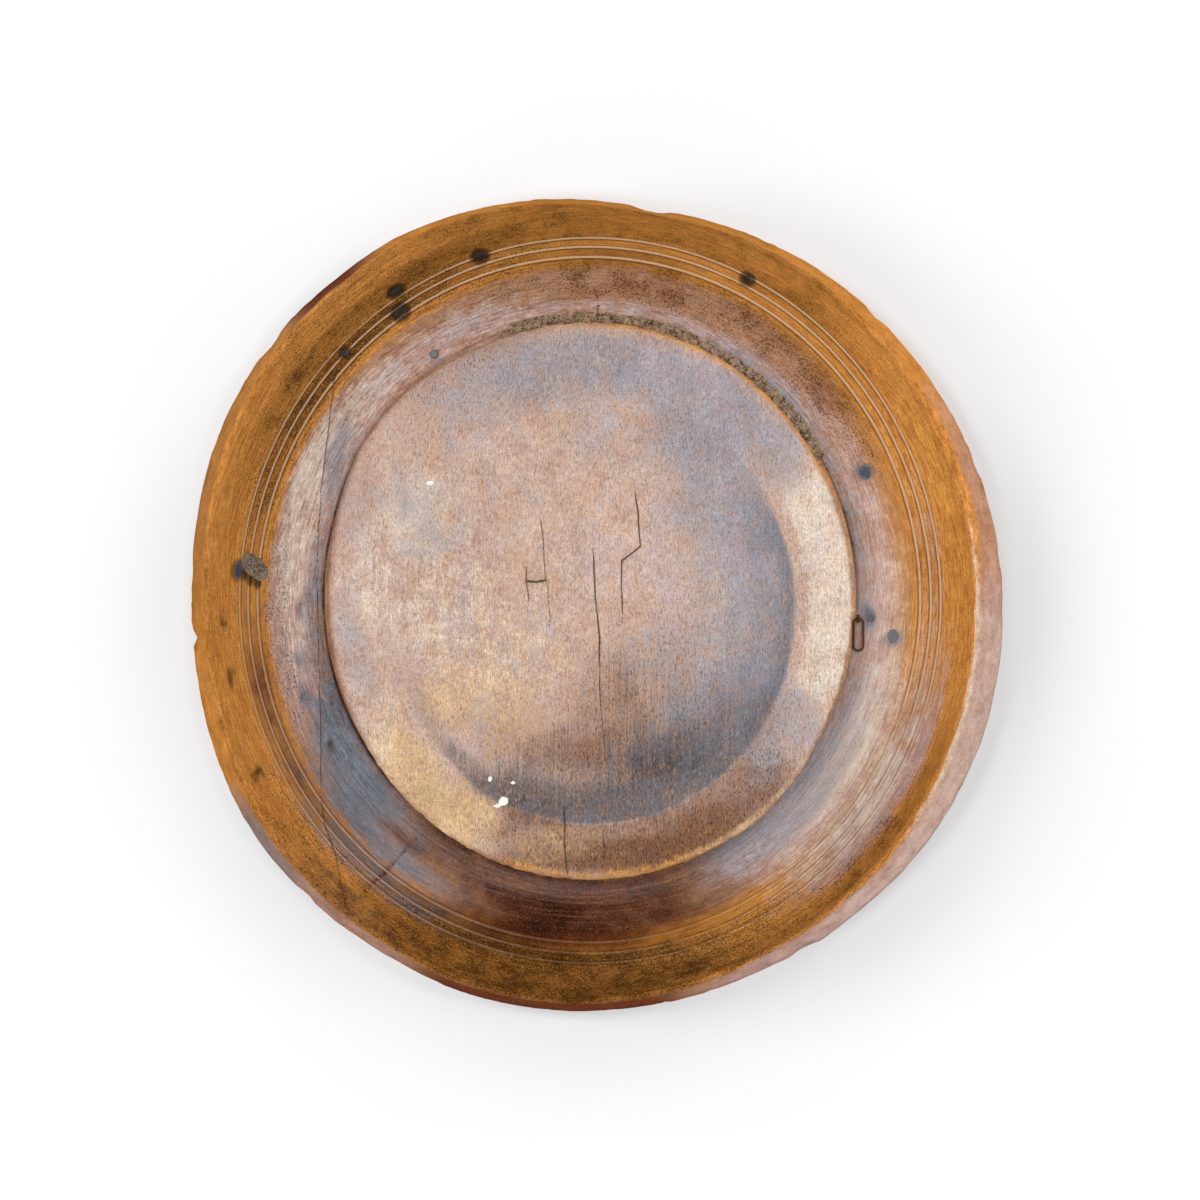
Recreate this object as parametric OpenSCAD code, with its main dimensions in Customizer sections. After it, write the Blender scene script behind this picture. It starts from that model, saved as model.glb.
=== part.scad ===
// Turned wooden dough bowl, standing upright on its foot
// The grain runs along Y, and drying has narrowed the wood along X
// X, Y: plan of the bowl, Z: up, origin: middle of the foot's face

/* [Rim] */
// Diameter across the rim
rim_d = 400; // [385:1:430]
// Height from the foot's face to the rim
bowl_h = 98; // [92:1:112]
// Thickness of the rim along Y
rim_t = 14; // [12:0.5:18]
// Height of the worn lip below the rim
lip_h = 12; // [8:0.5:16]
// Overhang of the lip past the wall along Y
lip_over = 4; // [3:0.5:7]
// Wear on the lip's edges
lip_wear = 3; // [1:0.25:4]

/* [Wall] */
// Width of the wall across the grain over its length along it
wall_oval = 0.967; // [0.95:0.001:1]
// Drift of the wall's middle along X
wall_drift_x = -1.8; // [-3:0.1:3]
// Drift of the wall's middle along Y
wall_drift_y = -1.4; // [-3:0.1:3]
// Reach of the belly outwards from the cove
belly_reach = 31; // [24:0.5:38]
// Rise of the belly over that reach
belly_rise = 5; // [3:0.5:8]
// Lean of the upper wall below the lip
upper_lean = 15; // [10:0.5:20]
// Height of the leaning upper wall
upper_rise = 35; // [28:0.5:42]

/* [Inside] */
// Thickness of the floor over the foot's face
floor_t = 16; // [14:0.5:20]
// Radius of the flat floor along Y
floor_r = 100; // [85:1:110]
// Reach of the heel between the floor and the inner wall
heel_reach = 40; // [32:0.5:46]
// Rise of the heel over that reach
heel_rise = 4; // [2:0.5:8]
// Lean of the inner wall below the rim
inside_lean = 14; // [10:0.5:20]
// Height of the leaning inner wall
inside_rise = 46; // [36:0.5:52]

/* [Foot] */
// Radius of the foot along Y
foot_r = 125; // [118:0.5:128]
// Width of the foot across the grain over its length along it
foot_oval = 0.94; // [0.92:0.005:0.98]
// Height of the foot below the wall
foot_h = 9; // [8:0.25:11]
// Wear on the foot's edge
foot_wear = 1.5; // [0.5:0.25:3]
// Depth of the cove cut in under the foot's edge
cove_depth = 2; // [1:0.25:4]
// Width of the cove from the foot's edge out to the belly
cove_w = 1; // [0:0.25:4]
// Height of the foot's upright edge
foot_edge_h = 5.5; // [4:0.25:6.5]
// Radius of the shallow recess in the foot's face
recess_r = 91; // [80:0.5:98]
// Depth of the recess
recess_depth = 1.8; // [1:0.1:3]
// Width of the recess's sloping side
recess_slope = 4; // [2:0.5:8]

/* [Grooves] */
// Turned grooves round the wall
groove_count = 3; // [1:1:4]
// Place of the lowest groove, from 0 at the cove to 1 at the lip
groove_place = 0.375; // [0.3:0.005:0.45]
// Spacing of the grooves on the same scale
groove_step = 0.08; // [0.05:0.005:0.1]
// Width of a groove
groove_w = 1.8; // [1:0.1:3]
// Depth of a groove
groove_depth = 0.9; // [0.5:0.1:1.5]

/* [Nails] */
// Diameter of a nail's shank
nail_shank_d = 3; // [2:0.1:3.5]
// Length of a nail under its head
nail_len = 9; // [6:0.5:10]
// Length of a nail's point
nail_point = 3; // [2:0.25:4]
// Thickness of a nail's head
nail_head_t = 1.2; // [0.8:0.1:1.6]
// Height of the dome on a nail's head
nail_dome = 0.3; // [0.1:0.05:0.5]
// Diameter of the largest head
nail_head_large = 9; // [8:0.25:10]
// Diameter of a common head
nail_head_common = 6.5; // [5.5:0.25:7.5]
// Diameter of a small head
nail_head_small = 4.5; // [4:0.25:5.5]
// Clearance round a nail in the wood
nail_clear = 0.05; // [0.02:0.01:0.1]

/* [Plug] */
// Diameter of the wooden plug
plug_d = 13; // [10:0.25:15]
// Depth of the plug in the wall
plug_depth = 8; // [6:0.5:9]
// Height of the plug's frayed end over the wall
plug_proud = 2.2; // [1:0.1:3]
// Clearance round the plug
plug_clear = 0.05; // [0.02:0.01:0.1]

/* [Hanging loop] */
// Diameter of the loop's wire
loop_wire_d = 1; // [0.8:0.1:1.4]
// Length of the loop outside
loop_len = 15.4; // [13:0.2:20]
// Width of the loop outside
loop_w = 5.4; // [5:0.2:7]
// Gap between the loop and the foot's edge
loop_gap = 0.5; // [0.4:0.1:1]
// Gap between the loop and the wall over it
loop_rest = 0.4; // [0.3:0.05:0.8]
// Place of the staple along Y
staple_y = 8.1; // [5:0.1:12]
// Diameter of the staple's wire
staple_wire_d = 1; // [0.8:0.1:1.2]
// Play between the loop and the staple
staple_play = 0.4; // [0.35:0.05:0.6]
// Depth of the staple's legs in the wood
staple_bite = 6; // [4:0.5:7]
// Clearance round the staple's legs
staple_clear = 0.05; // [0.02:0.01:0.1]

/* [Hidden] */
$fn = 96;
wall_steps = 20;
inside_steps = 16;
cut_over = 1;

// Corners of the outer and inner wall curves, as radius along Y and height
outer_root = [foot_r + cove_w, foot_h];
outer_end = [rim_d / 2 - lip_over, bowl_h - lip_h / 2];
outer_curve = [
    outer_root,
    outer_root + [belly_reach, belly_rise],
    outer_end - [upper_lean, upper_rise],
    outer_end
];
inner_root = [floor_r, floor_t];
inner_end = [rim_d / 2 - rim_t, bowl_h];
inner_curve = [
    inner_root,
    inner_root + [heel_reach, heel_rise],
    inner_end - [inside_lean, inside_rise],
    inner_end
];

// Middle of the loop's upper end, which turns in the staple
loop_x = foot_r * foot_oval + loop_gap + loop_w / 2;
loop_z = foot_h - loop_rest - loop_wire_d / 2;
loop_bend_r = (loop_w - loop_wire_d) / 2;
loop_run = loop_len - loop_w;
staple_bend_r = (loop_wire_d + staple_wire_d) / 2 + staple_play;

// Each nail: angle round the bowl, place up the wall from 0 to 1, head diameter
nail_places = [
    [297.2, 0.515, nail_head_small],
    [251.9, 0.54, nail_head_common],
    [237, 0.605, nail_head_common],
    [235.9, 0.415, nail_head_common],
    [224.4, 0.46, nail_head_small],
    [237.2, 0.06, nail_head_small],
    [184.6, 0.56, nail_head_large],
    [336.5, 0.18, nail_head_common],
    [6.9, 0.21, nail_head_common],
    [3.9, 0.075, nail_head_small]
];
plug_place = [185, 0.43];

// Point and direction on a cubic curve with four corners
function curve_point(c, t) =
    pow(1 - t, 3) * c[0] + 3 * pow(1 - t, 2) * t * c[1]
    + 3 * (1 - t) * t * t * c[2] + pow(t, 3) * c[3];
function curve_run(c, t) =
    pow(1 - t, 2) * (c[1] - c[0]) + 2 * (1 - t) * t * (c[2] - c[1])
    + t * t * (c[3] - c[2]);
function unit(v) = v / norm(v);
function curve_points(c, steps) = [for (i = [0 : steps]) curve_point(c, i / steps)];

// Turned shape that has dried to the wall's oval and drifted with it
module wall_turned() {
    translate([wall_drift_x, wall_drift_y, 0])
        scale([wall_oval, 1, 1])
            rotate_extrude()
                children();
}

// Places a child on the wall's outside with its Z axis pointing out of the wood
module on_wall(place) {
    angle = place[0];
    p = curve_point(outer_curve, place[1]);
    run = curve_run(outer_curve, place[1]);
    x = wall_drift_x + wall_oval * p[0] * cos(angle);
    y = wall_drift_y + p[0] * sin(angle);
    turn = atan2(sin(angle), cos(angle) / wall_oval);
    tip = atan2(run[1], -run[0]);
    translate([x, y, p[1]])
        rotate([0, tip, turn])
            children();
}

module wall_block() {
    wall_turned()
        polygon(concat(
            [[0, foot_h]],
            curve_points(outer_curve, wall_steps),
            [[outer_end[0], bowl_h - lip_wear], [0, bowl_h - lip_wear]]
        ));
}

module lip_block() {
    r = rim_d / 2;
    low = bowl_h - lip_h;
    rotate_extrude()
        polygon([
            [0, low],
            [r - lip_wear, low],
            [r, low + lip_wear],
            [r, bowl_h - lip_wear],
            [r - lip_wear, bowl_h],
            [0, bowl_h]
        ]);
}

module foot_block() {
    scale([foot_oval, 1, 1])
        rotate_extrude()
            polygon([
                [0, -cut_over],
                [foot_r - foot_wear - cut_over, -cut_over],
                [foot_r, foot_wear],
                [foot_r, foot_edge_h],
                [foot_r - cove_depth, foot_h],
                [foot_r - cove_depth, foot_h + cut_over],
                [0, foot_h + cut_over]
            ]);
}

module hollow() {
    wall_turned()
        polygon(concat(
            [[0, floor_t]],
            curve_points(inner_curve, inside_steps),
            [[inner_end[0], bowl_h + cut_over], [0, bowl_h + cut_over]]
        ));
}

// Flat cut that leaves the foot's face, with the shallow recess in its middle
module foot_face_cut() {
    translate([0, 0, -2 * cut_over])
        cylinder(h = 2 * cut_over, r = foot_r);
    cylinder(h = recess_depth, r1 = recess_r, r2 = recess_r - recess_slope);
}

module grooves() {
    for (i = [0 : groove_count - 1]) {
        t = groove_place + i * groove_step;
        p = curve_point(outer_curve, t);
        along = unit(curve_run(outer_curve, t));
        out = [along[1], -along[0]];
        wall_turned()
            polygon([
                p - out * groove_depth,
                p + along * groove_w / 2,
                p + out * cut_over,
                p - along * groove_w / 2
            ]);
    }
}

// Iron nail along -Z, with the underside of its head sunk by the head's thickness
module nail(head_d) {
    r = nail_shank_d / 2;
    low = -nail_head_t - nail_len;
    color("dimgray")
        rotate_extrude()
            polygon([
                [0, low],
                [r, low + nail_point],
                [r, -nail_head_t],
                [head_d / 2, -nail_head_t],
                [head_d / 2, 0],
                [head_d / 4, nail_dome],
                [0, nail_dome]
            ]);
}

module nail_bore(head_d) {
    depth = nail_head_t + nail_len + nail_clear;
    translate([0, 0, -depth])
        cylinder(h = depth, d = nail_shank_d + 2 * nail_clear);
    translate([0, 0, -nail_head_t])
        cylinder(h = nail_head_t + cut_over, d = head_d + 2 * nail_clear);
}

module plug_bore() {
    translate([0, 0, -plug_depth])
        cylinder(h = plug_depth + plug_proud, d = plug_d + 2 * plug_clear);
}

module staple_bores() {
    for (side = [-1, 1])
        translate([loop_x, staple_y + side * staple_bend_r, foot_h - cut_over])
            cylinder(h = staple_bite + cut_over, d = staple_wire_d + 2 * staple_clear);
}

module bowl_body() {
    color("peru")
        difference() {
            union() {
                wall_block();
                lip_block();
                foot_block();
            }
            hollow();
            foot_face_cut();
            grooves();
            for (place = nail_places)
                on_wall(place) nail_bore(place[2]);
            on_wall(plug_place) plug_bore();
            staple_bores();
        }
}

module wall_plug() {
    r = plug_d / 2;
    dome_r = (r * r + plug_proud * plug_proud) / (2 * plug_proud);
    color("saddlebrown")
        on_wall(plug_place) {
            translate([0, 0, -plug_depth])
                cylinder(h = plug_depth, r = r);
            intersection() {
                cylinder(h = plug_proud + cut_over, r = r);
                translate([0, 0, plug_proud - dome_r])
                    sphere(r = dome_r);
            }
        }
}

// U of wire with its crown under the loop's end and its legs up in the wood
module loop_staple() {
    leg = foot_h + staple_bite - loop_z;
    color("darkslategray")
        translate([loop_x, staple_y, loop_z]) {
            rotate([0, 90, 0])
                rotate([0, 0, -90])
                    rotate_extrude(angle = 180)
                        translate([staple_bend_r, 0])
                            circle(d = staple_wire_d);
            for (side = [-1, 1])
                translate([0, side * staple_bend_r, 0])
                    cylinder(h = leg, d = staple_wire_d);
        }
}

// Long link of wire that lies along +Y from the staple
module hanging_loop() {
    color("sienna")
        translate([loop_x, staple_y + loop_bend_r, loop_z]) {
            for (side = [-1, 1])
                translate([side * loop_bend_r, 0, 0])
                    rotate([-90, 0, 0])
                        cylinder(h = loop_run, d = loop_wire_d);
            rotate([0, 0, 180])
                loop_bend();
            translate([0, loop_run, 0])
                loop_bend();
        }
}

module loop_bend() {
    rotate_extrude(angle = 180)
        translate([loop_bend_r, 0])
            circle(d = loop_wire_d);
}

bowl_body();
wall_plug();
loop_staple();
hanging_loop();
for (i = [0 : len(nail_places) - 1])
    on_wall(nail_places[i]) nail(nail_places[i][2]);
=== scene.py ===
import bpy
import math
from types import SimpleNamespace
import numpy as np
from mathutils import Matrix, Vector, noise


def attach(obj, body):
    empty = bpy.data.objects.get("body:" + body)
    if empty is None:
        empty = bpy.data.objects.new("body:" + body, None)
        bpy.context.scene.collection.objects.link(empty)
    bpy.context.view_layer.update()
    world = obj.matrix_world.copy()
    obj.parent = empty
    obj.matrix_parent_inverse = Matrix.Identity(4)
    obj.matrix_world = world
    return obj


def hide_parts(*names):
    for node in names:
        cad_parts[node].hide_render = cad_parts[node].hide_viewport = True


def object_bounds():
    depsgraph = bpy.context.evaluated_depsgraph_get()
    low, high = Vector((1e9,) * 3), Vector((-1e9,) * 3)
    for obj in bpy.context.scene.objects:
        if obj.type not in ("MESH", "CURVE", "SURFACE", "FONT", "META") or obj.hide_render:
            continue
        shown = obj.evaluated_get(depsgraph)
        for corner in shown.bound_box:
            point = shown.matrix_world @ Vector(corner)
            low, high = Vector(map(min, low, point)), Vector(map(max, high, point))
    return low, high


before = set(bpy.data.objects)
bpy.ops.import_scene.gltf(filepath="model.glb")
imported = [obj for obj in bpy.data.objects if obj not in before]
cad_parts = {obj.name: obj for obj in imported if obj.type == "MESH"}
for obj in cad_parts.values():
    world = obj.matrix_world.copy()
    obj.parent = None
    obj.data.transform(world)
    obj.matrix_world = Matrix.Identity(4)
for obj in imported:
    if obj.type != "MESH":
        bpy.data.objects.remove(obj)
cadLow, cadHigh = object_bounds()
mm = 0.001

# The bowl stands on its foot, and the photo looks up at that foot: photo right is +X, photo down is +Y
photoView = {
    "rimDistance": 1.05,  # camera to the rim's plane
    "lens": 63.9,
    "sensor": 36.0,
    "tilt": 2.1,  # lean of the view off the bowl's axis, degrees
    "tiltTowards": 36.9,  # where it leans to, from +X round to +Y
    "aim": (0.00197, -0.00222, 0.098),
    "frameSize": 1200,
    "perMm": (2.24, 2.14),  # photo pixels to a millimetre on the foot and on the wall
}


def viewAxes():
    lean = math.radians(photoView["tilt"])
    turn = math.radians(photoView["tiltTowards"])
    ahead = Vector((-math.sin(lean) * math.cos(turn), -math.sin(lean) * math.sin(turn), math.cos(lean)))
    right = Vector((1, 0, 0)) - ahead * ahead.x
    right.normalize()
    return ahead, right, ahead.cross(right)


def cameraPlace():
    ahead = viewAxes()[0]
    return Vector(photoView["aim"]) - ahead * photoView["rimDistance"]


def photoPixels(points):
    ahead, right, down = (np.array(v) for v in viewAxes())
    seen = points - np.array(cameraPlace())
    size = photoView["frameSize"]
    reach = size * photoView["lens"] / photoView["sensor"] / (seen @ ahead)
    return size / 2 + reach * (seen @ right), size / 2 + reach * (seen @ down)


def makeCamera():
    ahead, right, down = viewAxes()
    data = bpy.data.cameras.new("photoCamera")
    data.lens = photoView["lens"]
    data.sensor_width = photoView["sensor"]
    cam = bpy.data.objects.new("photoCamera", data)
    bpy.context.scene.collection.objects.link(cam)
    turn = Matrix((right, -down, -ahead)).transposed().to_4x4()
    cam.matrix_world = Matrix.Translation(cameraPlace()) @ turn
    bpy.context.scene.camera = cam


makeCamera()
print("camera placed")


# Small helpers for shaders: a colour is a hex code, and a node stands for its first output
def srgb(code):
    parts = [int(code[i : i + 2], 16) / 255 for i in (0, 2, 4)]
    return tuple(c / 12.92 if c < 0.04045 else ((c + 0.055) / 1.055) ** 2.4 for c in parts) + (1.0,)


class Shader:
    def __init__(self, owner, kind="Material"):
        self.owner = owner
        owner.use_nodes = True
        self.tree = owner.node_tree
        self.tree.nodes.clear()
        self.out = self.add("ShaderNodeOutput" + kind)

    def add(self, kind, links=(), **settings):
        made = self.tree.nodes.new(kind)
        for key, value in settings.items():
            setattr(made, key, value)
        for socket, value in dict(links).items():
            self.put(made.inputs[socket], value)
        return made

    def put(self, socket, value):
        if isinstance(value, bpy.types.Node):
            value = value.outputs[0]
        if isinstance(value, bpy.types.NodeSocket):
            self.tree.links.new(value, socket)
        else:
            socket.default_value = srgb(value) if isinstance(value, str) else value

    def coords(self, scale=(1, 1, 1)):
        place = self.add("ShaderNodeTexCoord").outputs["Object"]
        return self.add("ShaderNodeMapping", {"Vector": place, "Scale": scale}).outputs["Vector"]

    def noise(self, vector, scale, detail, rough, warp=0.0):
        links = {"Vector": vector, "Scale": scale, "Detail": detail, "Roughness": rough, "Distortion": warp}
        return self.add("ShaderNodeTexNoise", links).outputs["Fac"]

    def attribute(self, name):
        return self.add("ShaderNodeAttribute", attribute_name=name).outputs["Fac"]

    def vector(self, how, links):
        return self.add("ShaderNodeVectorMath", links, operation=how).outputs[0]

    def math(self, how, a, b=0.0):
        return self.add("ShaderNodeMath", {0: a, 1: b}, operation=how).outputs[0]

    def plus(self, first, *others):
        for other in others:
            first = self.math("ADD", first, other)
        return first

    def times(self, first, *others):
        for other in others:
            first = self.math("MULTIPLY", first, other)
        return first

    def rest(self, value):
        return self.math("SUBTRACT", 1.0, value)

    def centred(self, value, gain=1.0):
        return self.times(self.math("SUBTRACT", value, 0.5), gain)

    def ramp(self, value, low, high, how="SMOOTHSTEP"):
        links = {"Value": value, "From Min": low, "From Max": high}
        return self.add("ShaderNodeMapRange", links, interpolation_type=how).outputs["Result"]

    def fall(self, value, low, high):
        return self.rest(self.ramp(value, low, high))

    def mix(self, amount, a, b, how="MIX"):
        links = {0: amount, 6: a, 7: b}
        return self.add("ShaderNodeMix", links, data_type="RGBA", blend_type=how).outputs[2]

    def blend(self, amount, a, b):
        return self.add("ShaderNodeMix", {0: amount, 2: a, 3: b}).outputs[0]

    def show(self, surface):
        self.put(self.out.inputs["Surface"], surface)
        return self.owner

    def finish(self, tone, rough, height, bump, deep, specular):
        dents = self.add("ShaderNodeBump", {"Height": height, "Strength": bump, "Distance": deep})
        links = {"Base Color": tone, "Roughness": rough, "Normal": dents, "Specular IOR Level": specular}
        return self.show(self.add("ShaderNodeBsdfPrincipled", links))


def newShader(name):
    return Shader(bpy.data.materials.new(name))


# Small helpers for meshes
def newPiece(name, add, **sizes):
    bpy.ops.object.select_all(action="DESELECT")
    add(**sizes)
    bpy.context.object.name = name
    return bpy.context.object


def selectBy(points, edges, faces):
    bpy.context.tool_settings.mesh_select_mode = (points, edges, faces)


def leaveEdit():
    bpy.ops.object.mode_set(mode="OBJECT")
    selectBy(True, False, False)


def selectFaces(mesh, test):
    # Selects faces by a test of their normal and middle, and is in edit mode after it
    bpy.ops.object.mode_set(mode="EDIT")
    bpy.ops.mesh.select_all(action="DESELECT")
    bpy.ops.object.mode_set(mode="OBJECT")
    for face in mesh.polygons:
        face.select = test(face.normal, face.center)
    selectBy(False, False, True)
    bpy.ops.object.mode_set(mode="EDIT")


def extrude(offset):
    bpy.ops.mesh.extrude_region_move(TRANSFORM_OT_translate={"value": offset})


def lift(height):
    bpy.ops.transform.translate(value=(0, 0, height))


# The bowl: profile in millimetres, the same sizes as the solids
bowlShape = {
    "outerR": 200.0,
    "rimR": 199.4,
    "reach": 199.85,  # furthest that the rim may stand from the middle along X or Y
    "height": 98.0,
    "rimT": 14.0,
    "lipOver": 4.0,
    "lipH": 12.0,
    "lipPlace": 0.93,  # place on the wall where the lip starts, 0 at the cove and 1 at the end
    "lipSoft": 3.4,  # rise of the lip's underside where it has no clear step, and how high it may go
    "lipUnder": 95.0,
    "wallOval": 0.967,
    "wallDrift": (-1.8, -1.4),
    "wallRootR": 126.0,
    "coveClosed": 3.2,
    "belly": (31.0, 5.0),  # how far the wall's curve is led out and up at its root, and back down at its end
    "upper": (15.0, 35.0),
    "floorT": 16.0,
    "floorR": 100.0,
    "heel": (40.0, 4.0),  # the same for the inside
    "insideUpper": (14.0, 46.0),
    "footR": 125.0,
    "footOval": 0.94,
    "footH": 9.0,
    "footFlat": 0.15,  # height of the foot's worn face beside the recess, and how much lower at its edge
    "footWorn": 0.1,
    "coveFrom": 8.6,  # height where the cove's floor starts
    "recessR": 97.4,
    "recessShift": (1.3, 3.6),
    "recessDepth": 1.8,
    "recessSlope": 6.0,
    "grooves": (0.375, 0.455, 0.535),
    "grooveDepth": 0.55,
    "grooveCut": ((-1.5, 0), (-0.95, 0), (-0.4, 0.75), (0, 1), (0.4, 0.75), (0.95, 0), (1.5, 0)),
    "recessSpacing": 2.4,  # millimetres from row to row, and rows round the bowl
    "footSpacing": 1.7,
    "wallSpacing": 1.8,
    "insideSpacing": 9.0,
    "floorSpacing": 12.0,
    "turns": 300,
}
# Worn edge of the foot and the undercut cove: distance out from the foot's radius, height, squeeze, drift
footEdge = [
    (-3.0, 0.1), (-2.0, 0.25), (-1.2, 0.65), (-0.5, 1.3), (-0.1, 2.2), (0, 3.3), (-0.1, 4.5), (-0.4, 5.6),
    (-0.9, 6.6), (-1.4, 7.5), (-1.75, 8.3),
]
coveFloor = [
    (-1.6, 8.85, 0.942, 0.05), (-0.9, 9.0, 0.947, 0.2), (-0.1, 9.02, 0.955, 0.5), (0.5, 9.0, 0.962, 0.8),
]
# The lip: share of the way out to the rim, height; and the rim's top: radius, height, squeeze, drift
lipOutline = [
    (0.12, 85.6), (0.3, 86.3), (0.5, 86.8), (0.7, 87.2), (0.88, 87.9), (0.97, 89.0), (1.0, 90.5),
    (1.0, 92.2), (0.99, 94.0), (0.965, 95.6), (0.91, 96.9), (0.8, 97.7), (0.6, 98.0),
]
rimTop = [
    (193.2, 97.9, 0.993, 0.15), (190.4, 97.7, 0.984, 0.45), (188.2, 97.2, 0.974, 0.8),
    (186.7, 96.3, 0.968, 1.0),
]
# Nails in the wall: angle from +X round to +Y, place up the wall, head diameter, how blue and how worn away;
# the blue is a painted sky reflection on the iron head
nailPlaces = [
    (297.2, 0.515, 4.5, 0.0, 0.0), (251.9, 0.54, 6.5, 0.0, 0.0), (237.0, 0.605, 6.5, 0.0, 0.0),
    (235.9, 0.415, 6.5, 0.1, 0.0), (224.4, 0.46, 4.5, 0.5, 0.0), (237.2, 0.06, 4.5, 0.4, 0.75),
    (184.6, 0.56, 9.0, 0.8, 0.0), (336.5, 0.18, 6.5, 1.0, 0.15), (6.9, 0.21, 6.5, 1.0, 0.55),
    (3.9, 0.075, 4.5, 1.0, 0.3),
]
plugPlace = (185.0, 0.43)
# Painted shadow beside the plug, dark where its raised end shades the wall: angle, place, reach in
# millimetres
plugShade = [(184.4, 0.49, 7.0), (183.3, 0.44, 6.0), (182.9, 0.38, 6.0)]


def cubic(corners, t):
    a, b, c, d = (np.array(p, float) for p in corners)
    return (1 - t) ** 3 * a + 3 * (1 - t) ** 2 * t * b + 3 * (1 - t) * t * t * c + t**3 * d


def curveCorners(root, end, low, high):
    return [root, (root[0] + low[0], root[1] + low[1]), (end[0] - high[0], end[1] - high[1]), end]


def wallCorners():
    s = bowlShape
    end = (s["outerR"] - s["lipOver"], s["height"] - s["lipH"] / 2)
    return curveCorners((s["wallRootR"], s["footH"]), end, s["belly"], s["upper"])


def insideCorners():
    s = bowlShape
    end = (s["outerR"] - s["rimT"], s["height"])
    return curveCorners((s["floorR"], s["floorT"]), end, s["heel"], s["insideUpper"])


def onWall(angle, place):
    # Frame on the wall's outside with +Z pointing out of the wood, in metres
    corners = wallCorners()
    p = cubic(corners, place)
    run = cubic(corners, place + 0.0005) - cubic(corners, place - 0.0005)
    a = math.radians(angle)
    oval = bowlShape["wallOval"]
    driftX, driftY = bowlShape["wallDrift"]
    spot = Vector((driftX + oval * p[0] * math.cos(a), driftY + p[0] * math.sin(a), p[1])) * mm
    turn = Matrix.Rotation(math.atan2(math.sin(a), math.cos(a) / oval), 4, "Z")
    tip = Matrix.Rotation(math.atan2(run[1], -run[0]), 4, "Y")
    return Matrix.Translation(spot) @ turn @ tip


def evenPlaces(corners, t0, t1, spacing):
    ts = np.linspace(t0, t1, 400)
    points = np.array([cubic(corners, t) for t in ts])
    run = np.concatenate([[0], np.cumsum(np.linalg.norm(np.diff(points, axis=0), axis=1))])
    count = max(2, round(run[-1] / spacing))
    return np.interp(np.linspace(0, run[-1], count + 1), run, ts), run[-1]


def ease(x, low, high):
    u = np.clip((x - low) / (high - low), 0, 1)
    return u * u * (3 - 2 * u)


def footRows():
    s = bowlShape
    rows = []
    slopeStart = s["recessR"] - s["recessSlope"]
    for r in np.arange(0, slopeStart, s["recessSpacing"]):
        rows.append((r, s["recessDepth"], s["footOval"], 0.0))
    for r in np.linspace(slopeStart, s["recessR"] + 3, 10):
        fall = ease(r, slopeStart, s["recessR"] + 3)
        rows.append((r, s["recessDepth"] * (1 - fall) + s["footFlat"] * fall, s["footOval"], 0.0))
    for r in np.arange(s["recessR"] + 4.4, s["footR"] - 3.6, s["footSpacing"]):
        worn = s["footWorn"] * ease(r, s["recessR"], s["footR"] - 14)
        rows.append((r, s["footFlat"] - worn, s["footOval"], 0.0))
    rows += [(s["footR"] + out, z, s["footOval"], 0.0) for out, z in footEdge]
    rows += [(s["footR"] + out, z, squeeze, drift) for out, z, squeeze, drift in coveFloor]
    return [row + (row[0] / s["outerR"] - 1,) for row in rows]


def wallRows():
    s = bowlShape
    corners = wallCorners()
    places, length = evenPlaces(corners, 0, s["lipPlace"], s["wallSpacing"])
    perMm = s["lipPlace"] / length
    cuts = {}
    for groove in s["grooves"]:
        for off, deep in s["grooveCut"]:
            cuts[groove + off * perMm] = deep
    clear = 1.7 * perMm
    kept = [t for t in places if all(abs(t - groove) > clear for groove in s["grooves"])]
    rows = []
    for t in sorted(kept + list(cuts)):
        p = cubic(corners, t)
        run = cubic(corners, t + 0.001) - p
        out = np.array([run[1], -run[0]]) / np.linalg.norm(run)
        p = p - out * s["grooveDepth"] * cuts.get(t, 0)
        rows.append((p[0], p[1], s["wallOval"], 1.0, t))
    return rows


def rimRows(startR):
    # The lip spreads out from the oval wall to the round rim
    s = bowlShape
    rows = []
    for i, (share, z) in enumerate(lipOutline):
        rounding = share if z < 92 else 1.0
        squeeze = s["wallOval"] + (1 - s["wallOval"]) * rounding
        rows.append((startR + (s["rimR"] - startR) * share, z, squeeze, 1 - rounding, 0.95 + 0.008 * i))
    return rows + [row + (1.12 + 0.02 * i,) for i, row in enumerate(rimTop)]


def insideRows():
    s = bowlShape
    inner = insideCorners()
    rows = []
    for t in evenPlaces(inner, 0.03, 0.955, s["insideSpacing"])[0][::-1]:
        p = cubic(inner, t)
        rows.append((p[0], p[1], s["wallOval"], 1.0, 1.2 + (1 - t)))
    for r in np.arange(s["floorR"] - 3, 0.5, -s["floorSpacing"]):
        rows.append((r, s["floorT"], s["wallOval"], 1.0, 2.4))
    rows.append((0.0, s["floorT"], s["wallOval"], 1.0, 2.4))
    return rows


def bowlRows():
    # Each row: radius along Y, height, squeeze along X, share of the wall's drift, place
    # Place runs from -1 in the foot's middle to -0.37 in the cove, 0 at the wall's root, 1 at the lip
    # and 2.4 on the floor inside
    rows = footRows() + wallRows()
    rows += rimRows(rows[-1][0])
    return np.array(rows + insideRows())


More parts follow.
